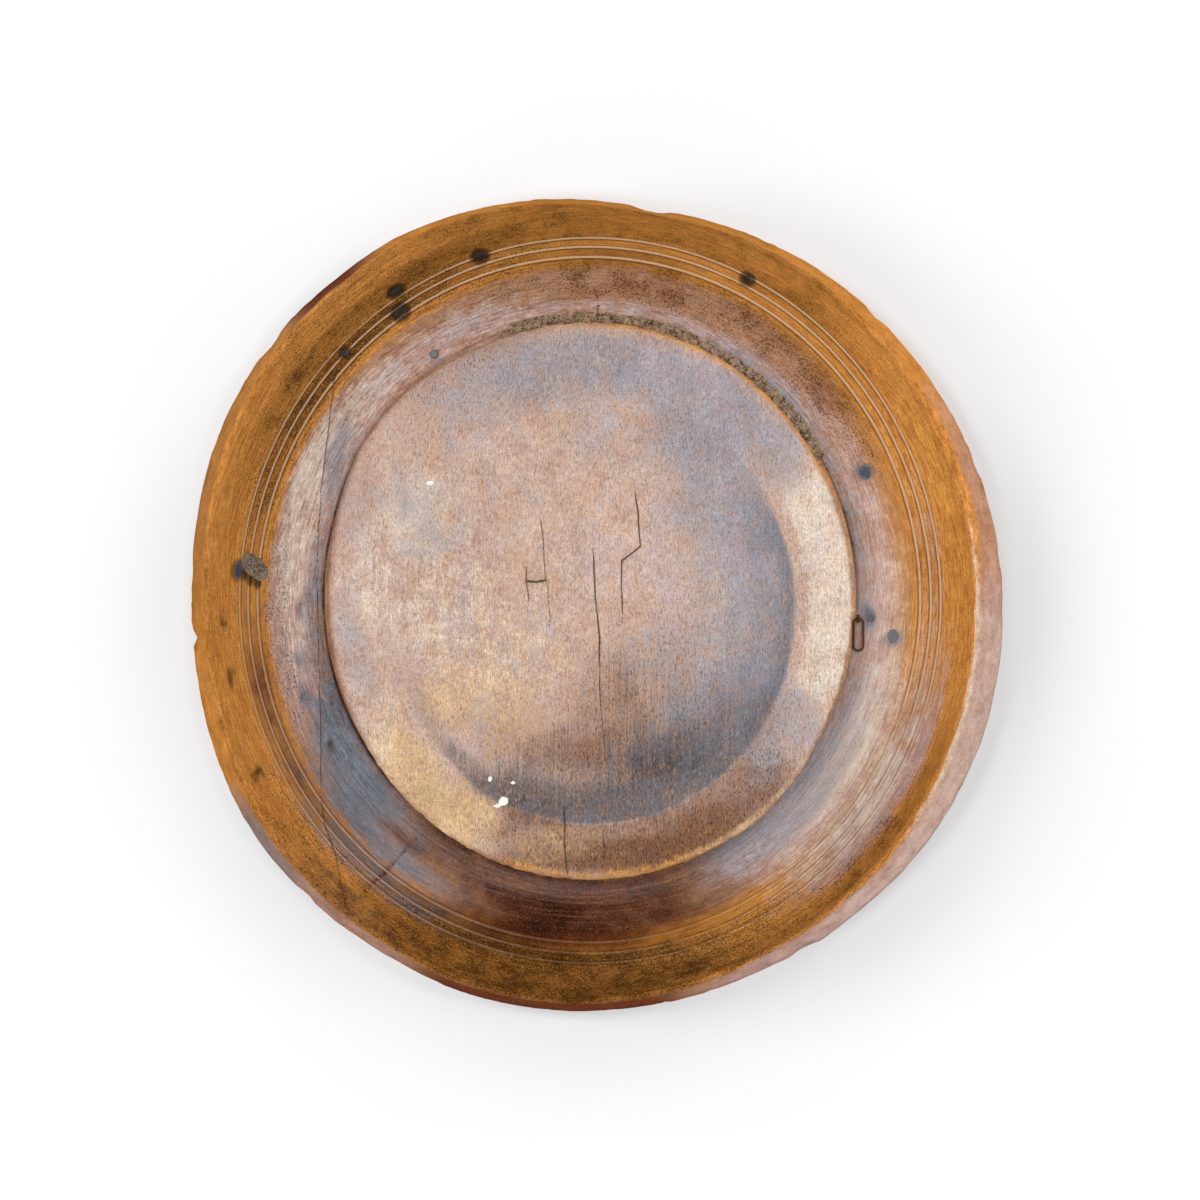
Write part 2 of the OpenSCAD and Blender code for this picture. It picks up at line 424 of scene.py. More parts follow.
def spinRows(name, rows, turns):
    piece = newPiece(name, bpy.ops.mesh.primitive_plane_add, size=0.002)
    bpy.ops.object.mode_set(mode="EDIT")
    bpy.ops.mesh.merge(type="CENTER")
    points = [Vector((r, 0, z)) * mm for r, z in rows[:, :2]]
    bpy.ops.transform.translate(value=points[0])
    for before, after in zip(points, points[1:]):
        extrude(after - before)
    bpy.ops.mesh.select_all(action="SELECT")
    bpy.ops.mesh.spin(steps=turns, angle=2 * math.pi, center=(0, 0, 0), axis=(0, 0, 1))
    bpy.ops.mesh.select_all(action="SELECT")
    bpy.ops.mesh.remove_doubles(threshold=1e-5)
    bpy.ops.mesh.normals_make_consistent(inside=False)
    bpy.ops.object.mode_set(mode="OBJECT")
    return piece


def coordsOf(mesh, what="co"):
    flat = np.zeros(len(mesh.vertices) * 3)
    mesh.vertices.foreach_get(what, flat)
    return flat.reshape(-1, 3)


def setCoords(mesh, points):
    mesh.vertices.foreach_set("co", points.ravel())
    mesh.update()


def nearestRow(points, rows):
    r = np.hypot(points[:, 0], points[:, 1]) / mm
    z = points[:, 2] / mm
    found = np.zeros(len(points), int)
    for i in range(0, len(points), 20000):
        part = slice(i, i + 20000)
        gap = (r[part, None] - rows[None, :, 0]) ** 2 + (z[part, None] - rows[None, :, 1]) ** 2
        found[part] = gap.argmin(axis=1)
    return found


def noiseAt(points, scale, seed=0.0):
    shift = Vector((seed, seed * 0.7, -seed))
    return np.array([noise.noise(Vector(p) * scale + shift) for p in points])


def setAttribute(mesh, name, values):
    layer = mesh.attributes.get(name) or mesh.attributes.new(name, "FLOAT", "POINT")
    layer.data.foreach_set("value", np.asarray(values, np.float32))


def getAttribute(mesh, name):
    values = np.zeros(len(mesh.vertices), np.float32)
    mesh.attributes[name].data.foreach_get("value", values)
    return values


def angleGap(a, b):
    return (a - b + 180) % 360 - 180


# Wear on the rim: photo angle anticlockwise from the right, millimetres out from the round
rimWave = [
    (0, -1.1), (16, -1.4), (32, -2.2), (56, -2.0), (72, -2.6), (81, -2.8), (88, -1.0), (96, 1.4),
    (104, 3.6), (112, 5.3), (120, 6.6), (128, 5.9), (136, 6.6), (144, 6.3), (152, 5.6), (160, 4.2),
    (168, 2.2), (176, 0.4), (188, 0.2), (194, 0.8), (208, 2.8), (217, 3.0), (224, 1.9), (240, 0.4),
    (250, 1.6), (264, 0.2), (280, -2.0), (296, -3.4), (304, -2.2), (312, -2.3), (320, -1.0), (336, -0.2),
    (352, -0.6),
]
# Nicks in the rim: photo angle, half width in degrees, depth in millimetres
rimNicks = [
    (184.6, 1.3, 2.2), (82, 3.5, 1.4), (141, 2.6, 1.2), (46, 2.0, 0.9), (225, 1.2, 1.0), (301, 2.2, 1.2),
    (20, 1.6, 0.8),
]
# Where the lip stands off the wall in a clear step: photo angle, spread in degrees, sharpness
lipSteps = [(345, 42, 1.0), (228, 18, 0.8), (128, 22, 0.6)]
# Where the foot spreads: photo angle, spread in degrees, millimetres
footBulges = [(143, 20, 4.5), (313, 15, 1.8)]
# Unevenness in millimetres: slow and quick waves, how far round a nail it is calm, torn edge and chips
bowlSway = {"slow": 0.35, "quick": 0.14, "calmReach": 9.0, "torn": 0.5, "tornFine": 0.45, "chips": 1.6}


def ringPoints(turn, height):
    return np.stack([np.cos(turn) * 4, np.sin(turn) * 4, height * 0.05], axis=1)


def hump(photoAngle, angle, spread):
    return np.exp(-((angleGap(photoAngle, angle) / spread) ** 2))


def rimOut(photoAngle, turn, height):
    angles, amounts = zip(*rimWave)
    out = np.interp(photoAngle, angles, amounts, period=360)
    ring = ringPoints(turn, height)
    out += 0.25 * noiseAt(ring, 3.0, 3.1) + 0.4 * noiseAt(ring, 9.0, 9.4)
    chips = bowlSway["chips"] * ease(noiseAt(ring, 21.0, 5.5), 0.28, 0.6)
    for angle, half, deep in rimNicks:
        chips += deep * (1 - ease(np.abs(angleGap(photoAngle, angle)), half * 0.3, half))
    return out, chips


def shapeBowl(piece, rows):
    # The turned shape dries to an oval, drifts and wears
    s = bowlShape
    mesh = piece.data
    base = coordsOf(mesh)
    row = rows[nearestRow(base, rows)]
    r, z, squeeze, drift, place = row.T.copy()
    turn = np.arctan2(base[:, 1], base[:, 0])
    photoAngle = (-np.degrees(turn)) % 360
    outside = place < 1.1
    rimShare = np.where(outside, ease(place, 0.78, 0.975), 1 - ease(place, 1.2, 1.55))
    chipShare = np.where(outside, ease(place, 0.955, 0.985), 1 - ease(place, 1.2, 1.3))
    out, chips = rimOut(photoAngle, turn, z)
    r += rimShare * out - chipShare * chips
    # Away from its clear steps the lip runs out softly from the wall
    step = np.zeros(len(r))
    for angle, spread, sharp in lipSteps:
        step = np.maximum(step, sharp * hump(photoAngle, angle, spread))
    under = (place > 0.94) & (place < 1.01)
    z += np.where(under, (1 - step) * s["lipSoft"] * ease(place, 0.94, 0.99), 0)
    z = np.minimum(z, np.where(under, s["lipUnder"], s["height"]))
    # The cove is narrow on the left
    left = ease(photoAngle, 136, 168) * (1 - ease(photoAngle, 250, 285))
    inCove = z > s["coveFrom"]
    coveOut = np.clip((r - s["footR"] + 1.7) / 2.7, 0, 1) * inCove
    root = np.where(place < 0, coveOut, 1 - ease(place, 0, 0.12))
    r -= left * root * s["coveClosed"]
    # The foot spreads a little at two sides
    bulge = sum(far * hump(photoAngle, angle, spread) for angle, spread, far in footBulges)
    face = ease(row[:, 0], s["footR"] - 14, s["footR"] - 2)
    spreads = np.where(inCove, 1 - 0.8 * root, face)
    r += bulge * np.where(place < 0, spreads, 0.2 * (1 - ease(place, 0, 0.05)))
    driftX, driftY = s["wallDrift"]
    x = squeeze * r * np.cos(turn) + drift * driftX
    y = r * np.sin(turn) + drift * driftY
    # The recess was turned a little off the middle
    inRecess = (place < 0) * (1 - ease(row[:, 0], s["recessR"] + 3, s["footR"] - 4))
    x += inRecess * s["recessShift"][0]
    y += inRecess * s["recessShift"][1]
    points = np.stack([x, y, z], axis=1)
    # Uneven hand-worn surface, calm round the nails and the plug so that they sit flush
    calm = np.where(np.hypot(x, y) < 1, 0.0, 1.0)
    for angle, spot in [n[:2] for n in nailPlaces] + [plugPlace]:
        centre = np.array(onWall(angle, spot).translation) / mm
        calm *= 1 - np.exp(-((np.linalg.norm(points - centre, axis=1) / bowlSway["calmReach"]) ** 2))
    sway = bowlSway["slow"] * noiseAt(points, 0.03, 1.7) + bowlSway["quick"] * noiseAt(points, 0.11, 5.2)
    sway *= calm
    foot = (place < 0) & (z < s["coveFrom"])
    points[:, 2] += np.where(foot, np.abs(sway) * 0.9, sway * np.where(outside, 0.8, -0.8))
    # Torn edge of the foot
    ring = ringPoints(turn, z)
    torn = np.exp(-0.5 * ((row[:, 0] - s["footR"]) / 1.6) ** 2) * foot
    rag = bowlSway["torn"] * noiseAt(ring, 9.0, 2.2) + bowlSway["tornFine"] * noiseAt(ring, 26.0, 4.4)
    points[:, 0] += torn * rag * np.cos(turn)
    points[:, 1] += torn * rag * np.sin(turn)
    points[:, :2] = np.clip(points[:, :2], -s["reach"], s["reach"])
    setCoords(mesh, points * mm)
    setAttribute(mesh, "place", place)


# Cracks along the grain, as photo pixels from end to end: points, half width and depth in millimetres
cracks = {
    "middle": ([(593, 548), (594, 570), (596, 605), (600, 640), (599, 668)], 0.26, 0.6),
    "middleLow": ([(599, 668), (600, 700), (603, 735), (606, 773)], 0.13, 0.4),
    "middleRight": ([(635, 487), (638, 515), (640, 546), (622, 561), (621, 589), (623, 622)], 0.28, 0.6),
    "middleLeft": ([(541, 514), (545, 570), (548, 589), (550, 630)], 0.2, 0.35),
    "bar": ([(526, 581), (537, 582), (547, 580)], 0.4, 0.8),
    "barEnd": ([(526, 566), (527, 582), (529, 604)], 0.26, 0.4),
    "lower": ([(564, 803), (565, 830), (565, 850), (568, 880)], 0.26, 0.7),
    "lowerRight": ([(603, 826), (604, 862)], 0.18, 0.3),
    "wallUpper": (
        [(342, 352), (333, 382), (329, 423), (325, 450), (321, 486), (318, 533), (317, 574)], 0.22, 0.6,
    ),
    "wallMiddle": ([(317, 574), (318, 640), (320, 713), (321, 796)], 0.17, 0.4),
    "wallLower": ([(321, 796), (325, 829), (334, 851), (339, 878), (345, 903), (352, 920)], 0.2, 0.7),
    "wallCross": ([(424, 832), (404, 852), (384, 876), (368, 889), (356, 901)], 0.13, 0.4),
    "bellyTop": ([(596, 293), (598, 306), (597, 318)], 0.2, 0.4),
    "bellyTopLeft": ([(570, 280), (574, 300)], 0.12, 0.3),
}
crackReach = 3.4  # pixels to each side that get the finer mesh
fleckRise = 0.35  # millimetres
# Dried white flecks: photo pixel, half width and height in pixels
flecks = [
    (430, 483, 4.0, 2.6), (503, 801, 5.5, 5.0), (497, 806, 4.0, 2.0), (490, 779, 2.0, 2.6),
    (513, 783, 2.6, 1.8),
]
# Dried crumbs in the cove: photo angles in degrees, millimetres
crumbs = {"from": 22, "to": 116, "fadeIn": 22, "fadeOut": 16, "rise": 1.5, "lumps": 1.3}


def lineGap(u, v, points):
    # Distance in pixels from a line of points, and how far along it, from 0 to 1
    gap = np.full(len(u), 1e9)
    along = np.zeros(len(u))
    lengths = [math.dist(a, b) for a, b in zip(points, points[1:])]
    done = 0.0
    for (au, av), (bu, bv), length in zip(points, points[1:], lengths):
        du, dv = (bu - au) / length, (bv - av) / length
        t = np.clip((u - au) * du + (v - av) * dv, 0, length)
        away = np.hypot(u - au - t * du, v - av - t * dv)
        near = away < gap
        gap = np.where(near, away, gap)
        along = np.where(near, (done + t) / sum(lengths), along)
        done += length
    return gap, along


def refine(piece, chosen, cuts):
    mesh = piece.data
    mesh.vertices.foreach_set("select", np.zeros(len(mesh.vertices), bool))
    mesh.edges.foreach_set("select", np.zeros(len(mesh.edges), bool))
    mesh.polygons.foreach_set("select", chosen)
    selectBy(False, False, True)
    bpy.ops.object.mode_set(mode="EDIT")
    bpy.ops.mesh.subdivide(number_cuts=cuts, smoothness=0)
    leaveEdit()


def faceSpots(mesh):
    # Photo pixel and place of each face's middle
    middle = np.zeros(len(mesh.polygons) * 3)
    mesh.polygons.foreach_get("center", middle)
    u, v = photoPixels(middle.reshape(-1, 3))
    place = getAttribute(mesh, "place")
    starts = np.zeros(len(mesh.polygons), int)
    mesh.polygons.foreach_get("loop_start", starts)
    corner = np.zeros(len(mesh.loops), int)
    mesh.loops.foreach_get("vertex_index", corner)
    return u, v, place[corner[starts]]


def photoTurn(u, v):
    midU, midV = photoPixels(np.array([[0.0, 0.0, bowlShape["height"] * mm]]))
    return np.degrees(np.arctan2(midV[0] - v, u - midU[0])) % 360


def detailFaces(mesh):
    # Faces at cracks and flecks, and at nails and the plug
    u, v, place = faceSpots(mesh)
    lined = np.zeros(len(u), bool)
    for points, half, deep in cracks.values():
        lined |= lineGap(u, v, points)[0] < crackReach
    for cu, cv, wide, tall in flecks:
        lined |= np.hypot(u - cu, v - cv) < max(wide, tall) + 2
    spotted = np.zeros(len(u), bool)
    for turn, spot, reach in [(n[0], n[1], n[2] + 6) for n in nailPlaces] + [plugPlace + (22,)]:
        spotU, spotV = photoPixels(np.array([onWall(turn, spot).translation]))
        spotted |= np.hypot(u - spotU, v - spotV) < reach
    return lined & ~spotted & (place < 0.95), spotted & (place < 0.95)


def refineDetails(piece):
    u, v, place = faceSpots(piece.data)
    angle = photoTurn(u, v)
    crusted = (place > -0.40) & (place < 0.055)
    crusted &= (angle > crumbs["from"]) & (angle < crumbs["to"])
    refine(piece, crusted, 1)
    refine(piece, detailFaces(piece.data)[1], 2)
    refine(piece, detailFaces(piece.data)[0], 3)


def carveDetails(piece):
    mesh = piece.data
    points = coordsOf(mesh)
    normals = coordsOf(mesh, "normal")
    place = getAttribute(mesh, "place")
    u, v = photoPixels(points)
    angle = photoTurn(u, v)
    outside = place < 0.95
    pixel = np.where(place < 0, *photoView["perMm"])
    line = np.full(len(u), 3.0)
    sunk = np.zeros(len(u))
    wander = 0.9 * noiseAt(points / mm, 0.12, 8.0)
    for points2d, half, deep in cracks.values():
        gap, along = lineGap(u + wander, v, points2d)
        gap /= pixel
        ends = ease(along, -0.02, 0.12) * (1 - ease(along, 0.88, 1.02))
        width = half * (0.35 + 0.65 * ends)
        line = np.where(outside, np.minimum(line, gap / width), line)
        sunk = np.maximum(sunk, outside * deep * ends * np.exp(-((gap / (half * 1.5)) ** 2)))
    setAttribute(mesh, "crack", line)
    # Crumbs
    inCove = ease(place, -0.386, -0.378) * (1 - ease(place, 0.012, 0.05))
    start, end = crumbs["from"], crumbs["to"]
    inTurn = ease(angle, start, start + crumbs["fadeIn"]) * (1 - ease(angle, end - crumbs["fadeOut"], end))
    lumps = noiseAt(points / mm, 0.33, 3.3) + 0.6 * noiseAt(points / mm, 0.8, 7.7)
    deepCove = ease(points[:, 2] / mm, 5.0, 7.5)
    crust = inCove * inTurn * deepCove * ease(lumps, -0.6, -0.1)
    setAttribute(mesh, "crust", crust)
    raised = crust * (crumbs["rise"] + crumbs["lumps"] * lumps)
    # Flecks
    white = np.zeros(len(u))
    for cu, cv, wide, tall in flecks:
        ragged = 0.35 * noiseAt(points / mm, 0.8, cu * 0.1)
        white = np.maximum(white, 1 - ease(np.hypot((u - cu) / wide, (v - cv) / tall) + ragged, 0.75, 1.1))
    white *= outside
    setAttribute(mesh, "fleck", white)
    raised += fleckRise * white
    points = points + normals * (raised - sunk)[:, None] * mm
    points[:, 2] = np.clip(points[:, 2], cadLow[2], cadHigh[2])
    setCoords(mesh, points)


def makeBowl():
    rows = bowlRows()
    piece = spinRows("bowl", rows, bowlShape["turns"])
    shapeBowl(piece, rows)
    refineDetails(piece)
    carveDetails(piece)
    bpy.ops.object.shade_smooth()
    return piece


bowl = makeBowl()
print("bowl turned:", len(bowl.data.vertices), "points")
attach(bowl, "bowl")
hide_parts("bowl_body")


# Stains and wear on the foot and elsewhere, with painted shade, painted highlights and painted sky
# reflection among them as marked below: photo pixel, half width, half height, turn, strength
patches = {
    "grey": [
        (545, 372, 95, 50, 8, 0.75), (640, 362, 90, 40, -8, 0.9), (712, 410, 66, 76, -35, 0.85),
        (780, 452, 34, 70, -24, 0.5), (756, 716, 56, 60, 25, 0.5), (802, 712, 24, 44, 20, 0.5),
        (690, 610, 50, 60, 0, 0.1), (655, 650, 60, 40, 0, 0.4), (410, 502, 36, 46, 10, 0.4),
        (448, 515, 30, 46, 0, 0.35), (425, 547, 44, 22, 0, 0.35), (360, 662, 22, 58, 8, 0.45),
        (348, 610, 13, 42, 0, 0.4), (470, 402, 60, 46, 30, 0.5), (620, 436, 90, 46, 0, 0.45),
        (358, 500, 22, 64, -8, 0.35), (690, 745, 50, 40, 30, 0.4), (335, 457, 10, 56, -17, 0.85),
    ],
    # Steel: blue-grey stain and patina round the nails, with painted sky reflection on the wall and the foot
    "steel": [
        (403, 500, 16, 26, 0, 0.35), (434, 530, 24, 18, 0, 0.35), (664, 757, 44, 26, 10, 0.35),
        (398, 470, 10, 14, 0, 0.3), (418, 553, 22, 8, 0, 0.35), (700, 480, 16, 20, 0, 0.3),
        (340, 736, 20, 46, 28, 0.8), (372, 800, 22, 22, -45, 0.4), (863, 472, 14, 11, 0, 0.7),
        (893, 637, 15, 12, 0, 0.6), (870, 617, 11, 9, 0, 0.7), (437, 359, 12, 9, 0, 0.5),
        (300, 612, 7, 16, 0, 0.55), (304, 657, 7, 13, 5, 0.5), (306, 694, 8, 18, 10, 0.6),
        (540, 500, 10, 8, 0, 0.3),
    ],
    "smoke": [
        (657, 760, 62, 40, 10, 0.8), (640, 706, 60, 80, 0, 0.2), (710, 742, 46, 44, 30, 0.45),
        (610, 800, 100, 24, 0, 0.6), (500, 794, 40, 16, -28, 0.5), (706, 704, 40, 36, 0, 0.3),
        (750, 710, 36, 56, 25, 0.4), (386, 640, 10, 40, 8, 0.25), (470, 785, 22, 14, -30, 0.3),
        (560, 735, 40, 14, 10, 0.25),
    ],
    "dark": [
        (655, 764, 44, 20, 10, 0.4), (231, 678, 8, 14, 0, 0.75), (221, 620, 5, 10, 0, 0.6),
        (257, 774, 6, 10, 20, 0.65), (304, 690, 5, 12, 0, 0.3), (333, 744, 7, 10, 0, 0.7),
        (401, 313, 12, 10, 0, 0.6), (395, 290, 11, 8, 0, 0.5), (481, 255, 12, 8, 0, 0.5),
        (345, 353, 9, 9, 0, 0.5), (749, 278, 10, 8, 0, 0.5), (296, 372, 16, 26, -30, 0.35),
        (278, 412, 12, 26, -20, 0.35),
    ],
    "gold": [
        (404, 770, 46, 66, 24, 0.8), (450, 822, 60, 44, 30, 0.75), (470, 826, 50, 24, 24, 0.4),
        (450, 796, 50, 40, 20, 0.35), (480, 712, 70, 62, 0, 0.45), (522, 652, 62, 52, 0, 0.4),
        (552, 846, 70, 26, 8, 0.4), (432, 690, 46, 46, 0, 0.3), (450, 610, 66, 46, 0, 0.3),
    ],
    "brown": [
        (525, 864, 66, 16, 12, 0.5), (600, 862, 60, 14, 0, 0.4), (522, 736, 66, 50, 0, 0.38),
        (508, 838, 44, 16, 18, 0.2),
    ],
    "umber": [
        (565, 770, 84, 44, 0, 0.6), (640, 712, 84, 96, 0, 0.4), (606, 716, 60, 70, 0, 0.3),
        (645, 856, 98, 20, 4, 0.7), (524, 854, 60, 20, 12, 0.45), (505, 826, 36, 16, 22, 0.5),
        (520, 800, 56, 22, -24, 0.5), (710, 826, 70, 24, 22, 0.6), (765, 780, 34, 34, 40, 0.55),
        (430, 450, 50, 60, 30, 0.2), (690, 668, 40, 40, 0, 0.3),
    ],
    "pale": [
        (500, 650, 75, 80, 0, 0.2), (420, 512, 50, 54, 0, 0.7), (370, 722, 22, 62, 15, 0.4),
        (442, 846, 30, 20, 30, 0.3), (425, 615, 70, 65, 0, 0.35), (362, 590, 26, 80, 0, 0.3),
        (404, 780, 30, 30, 30, 0.15), (452, 550, 40, 30, 0, 0.35),
    ],
    "red": [
        (575, 772, 75, 26, 0, 0.2), (642, 288, 52, 20, 0, 0.3), (828, 394, 30, 26, -50, 0.35),
        (395, 830, 36, 10, -40, 0.6), (575, 300, 40, 14, 0, 0.35), (388, 866, 3, 44, -42, 0.6),
    ],
}
# The same round the bowl: place from and to, photo angle from and to, strength, and how soft each side is
rings = {
    "orange": [
        (0.31, 1.0, 0, 360, 0.97), (0.25, 0.36, 165, 202, 0.75), (0.28, 0.36, 95, 170, 0.5),
        (0.2, 0.34, 0, 48, 0.45), (0.08, 0.3, -18, 26, 0.26), (0.14, 0.2, 216, 250, 0.55),
        (0.2, 0.34, 300, 350, 0.35),
    ],
    "brown": [
        (0.5, 1.0, 46, 118, 0.45), (0.36, 0.53, 112, 148, 0.62), (0.55, 0.76, 112, 150, 0.45),
        (0.62, 0.8, 272, 292, 0.4), (0.36, 0.56, 142, 172, 0.4), (0.48, 1.0, 230, 286, 0.62),
        (0.28, 0.55, 246, 274, 0.85), (0.38, 0.55, 224, 250, 0.55), (0.28, 0.5, 270, 296, 0.55),
        (0.7, 0.9, 300, 344, 0.5), (0.06, 0.34, 40, 112, 0.28), (0.3, 0.48, 72, 102, 0.6),
        (0.33, 0.62, 34, 70, 0.28), (-0.03, 0.03, 100, 122, 0.6, 0.02, 0.012), (0.22, 0.36, -10, 60, 0.35),
        (-0.03, 0.008, 104, 126, 0.5, 0.02, 0.008),
    ],
    "umber": [
        (-0.518, -0.385, 248, 306, 0.6, 0.006, 0.02), (0.02, 0.14, 226, 242, 0.35),
        (0.33, 0.52, 184, 250, 0.6), (0.0, 0.15, 232, 300, 0.8), (0.1, 0.34, 272, 302, 0.7),
        (0.36, 0.47, 214, 256, 0.4), (-0.516, -0.385, 300, 330, 0.5, 0.006, 0.03),
        (0.1, 0.34, 45, 104, 0.15), (-0.5, -0.39, 78, 130, 0.25), (-0.42, -0.38, 98, 132, 0.4, 0.02, 0.01),
        (0.7, 1.0, 218, 240, 0.6), (0.9, 0.955, 116, 146, 0.35),
    ],
    "pink": [
        (0.0, 0.2, 104, 140, 0.75, 0.012, 0.06), (0.0, 0.27, 136, 170, 0.85, 0.012, 0.06),
        (0.05, 0.3, 166, 206, 0.9), (0.05, 0.34, 298, 350, 0.75), (0.08, 0.22, -30, 42, 0.7),
        (0.3, 0.62, 306, 340, 0.85), (0.58, 0.7, 304, 352, 0.65), (0.03, 0.1, 50, 104, 0.6),
        (0.36, 0.58, -32, 22, 0.35), (0.58, 0.68, 322, 346, 0.3), (0.12, 0.3, 212, 234, 0.4),
    ],
    # Grey: the first two, just inside the recess edge, are painted shade of its slope; the rest are grey
    # stains
    "grey": [
        (-0.74, -0.518, -60, 58, 0.85, 0.1, 0.012), (-0.66, -0.518, -120, -60, 0.5, 0.08, 0.012),
        (0.0, 0.22, 294, 345, 0.55), (0.0, 0.24, 294, 322, 0.6), (-0.37, 0.0, 292, 368, 0.8, 0.004, 0.02),
        (0.04, 0.2, 104, 166, 0.3), (0.0, 0.12, -16, 60, 0.5), (0.0, 0.24, 200, 234, 0.5),
        (0.2, 0.34, 220, 246, 0.7), (-0.372, 0.0, 122, 160, 0.7, 0.004, 0.02), (0.02, 0.12, 60, 104, 0.5),
        (0.02, 0.16, 104, 130, 0.25), (0.34, 0.6, 210, 245, 0.45), (-0.503, -0.39, 30, 76, 0.5),
        (-0.503, -0.385, 306, 330, 0.5),
    ],
    # Steel: blue-grey stain, with painted shade just inside the recess edge and painted sky reflection on
    # the wall beside the cove
    "steel": [
        (-0.64, -0.518, -50, 40, 0.45, 0.06, 0.01), (0.02, 0.34, 206, 232, 0.72),
        (0.22, 0.33, 226, 246, 0.3), (-0.548, -0.518, 216, 346, 0.45, 0.02, 0.006),
        (0.0, 0.2, 198, 216, 0.7), (-0.02, 0.09, 165, 212, 0.6), (-0.02, 0.11, 290, 356, 0.5),
        (-0.02, 0.06, 0, 70, 0.55), (0.0, 0.07, 136, 166, 0.35),
    ],
    # Smoke: the first three, just inside the recess edge, are painted shade of its slope; the rest darken
    # the wall near the bottom
    "smoke": [
        (-0.6, -0.516, -126, -46, 0.65, 0.04, 0.008), (-0.56, -0.516, 196, 240, 0.4, 0.012, 0.006),
        (-0.56, -0.516, -48, 40, 0.35, 0.02, 0.006), (0.0, 0.2, 230, 250, 0.4), (0.16, 0.36, 234, 250, 0.4),
        (0.0, 0.16, 248, 298, 0.4), (0.0, 0.07, 296, 312, 0.4),
    ],
    "red": [
        (0.12, 0.32, 45, 104, 0.18), (0.3, 0.56, 178, 202, 0.48), (0.1, 0.2, 222, 246, 0.35),
        (0.12, 0.42, 244, 278, 0.8), (0.28, 0.42, 204, 226, 0.3), (0.55, 0.9, 280, 300, 0.15),
        (0.0, 0.14, 246, 290, 0.4), (0.12, 0.36, 272, 292, 0.4), (0.06, 0.2, 30, 55, 0.2),
        (0.62, 0.86, 313, 325, 0.5),
    ],
    # Dark: the thin rings at the cove and just above it are painted shadow; the wider ones darken the wall
    # from the left round to the bottom
    "dark": [
        (0.1, 0.36, 248, 276, 0.75), (0.0, 0.06, 226, 298, 0.5), (0.04, 0.2, 228, 246, 0.35),
        (0.06, 0.3, 272, 294, 0.4), (0.37, 0.46, 216, 256, 0.3), (0.36, 0.58, 240, 272, 0.3),
        (0.36, 0.5, 188, 222, 0.3), (-0.012, 0.006, 150, 300, 0.9, 0.006, 0.01),
        (-0.366, 0.02, 196, 262, 0.5, 0.004, 0.03), (-0.01, 0.008, 0, 45, 0.8, 0.006, 0.01),
        (-0.01, 0.006, 300, 360, 0.5, 0.006, 0.01), (0.02, 0.026, -10, 44, 0.6, 0.003, 0.003),
        (0.04, 0.045, -20, 40, 0.45, 0.003, 0.003), (0.062, 0.066, 280, 375, 0.4, 0.003, 0.003),
    ],
    # Amber: painted highlight along the foot's edge where the light falls on it
    "amber": [
        (-0.386, -0.368, 22, 92, 0.62, 0.006, 0.004), (-0.382, -0.37, -40, 30, 0.35, 0.003, 0.003),
        (-0.41, -0.374, 44, 100, 0.35, 0.02, 0.004), (-0.396, -0.37, 246, 296, 0.55, 0.01, 0.004),
        (-0.379, -0.369, 112, 300, 0.3, 0.003, 0.004),
    ],
    "mottle": [
        (0.34, 0.55, 104, 166, 0.95), (0.55, 0.8, 104, 160, 0.65), (0.8, 1.0, 104, 150, 0.3),
        (0.5, 1.0, 168, 202, 0.2), (0.5, 1.0, 208, 238, 0.5), (0.45, 1.0, 235, 302, 0.85),
        (0.6, 1.0, 300, 328, 0.5), (0.5, 1.0, 40, 112, 0.25), (0.45, 1.0, -30, 42, 0.12),
        (0.1, 0.36, 25, 112, 0.4), (0.16, 0.34, 168, 206, 0.4),
    ],
    # Gold: golden wood, with a painted highlight on the foot's edge at the lower right
    "gold": [
        (0.3, 0.4, 300, 345, 0.5), (-0.392, -0.376, 284, 320, 0.6, 0.006, 0.004),
        (0.2, 0.34, -18, 20, 0.35),
    ],
    "calm": [(0.02, 0.34, 300, 384, 0.65), (0.34, 0.62, 300, 345, 0.4), (0.0, 0.3, 204, 236, 0.5)],
    "lines": [(0.02, 1.0, 0, 360, 0.5), (0.3, 0.62, 288, 360, 0.45), (0.0, 0.12, -60, 50, 0.5)],
    "filled": [
        (0.3, 0.62, 228, 250, 0.5), (0.3, 0.62, 246, 300, 0.85), (0.3, 0.62, 294, 348, 0.75),
        (0.3, 0.62, 178, 230, 0.35), (0.5, 0.6, 127, 137, 0.8),
    ],
    # Pale: light wood, with a painted highlight on the foot's right side out to its edge and a thin one
    # along the lip's edge on the right
    "pale": [
        (-0.49, -0.376, -28, 38, 0.75, 0.016, 0.004), (-0.512, -0.5, 210, 250, 0.15, 0.005, 0.006),
        (0.945, 0.954, -34, 10, 0.9, 0.003, 0.003), (0.08, 0.28, -22, 22, 0.22),
        (0.06, 0.24, 166, 196, 0.45), (-0.503, -0.385, 160, 200, 0.15), (0.34, 0.58, 304, 342, 0.48),
        (0.08, 0.3, 304, 346, 0.6), (0.04, 0.22, 130, 150, 0.36), (0.04, 0.3, 140, 170, 0.6),
        (0.02, 0.3, -12, 26, 0.1), (0.03, 0.22, 100, 136, 0.28),
    ],
}
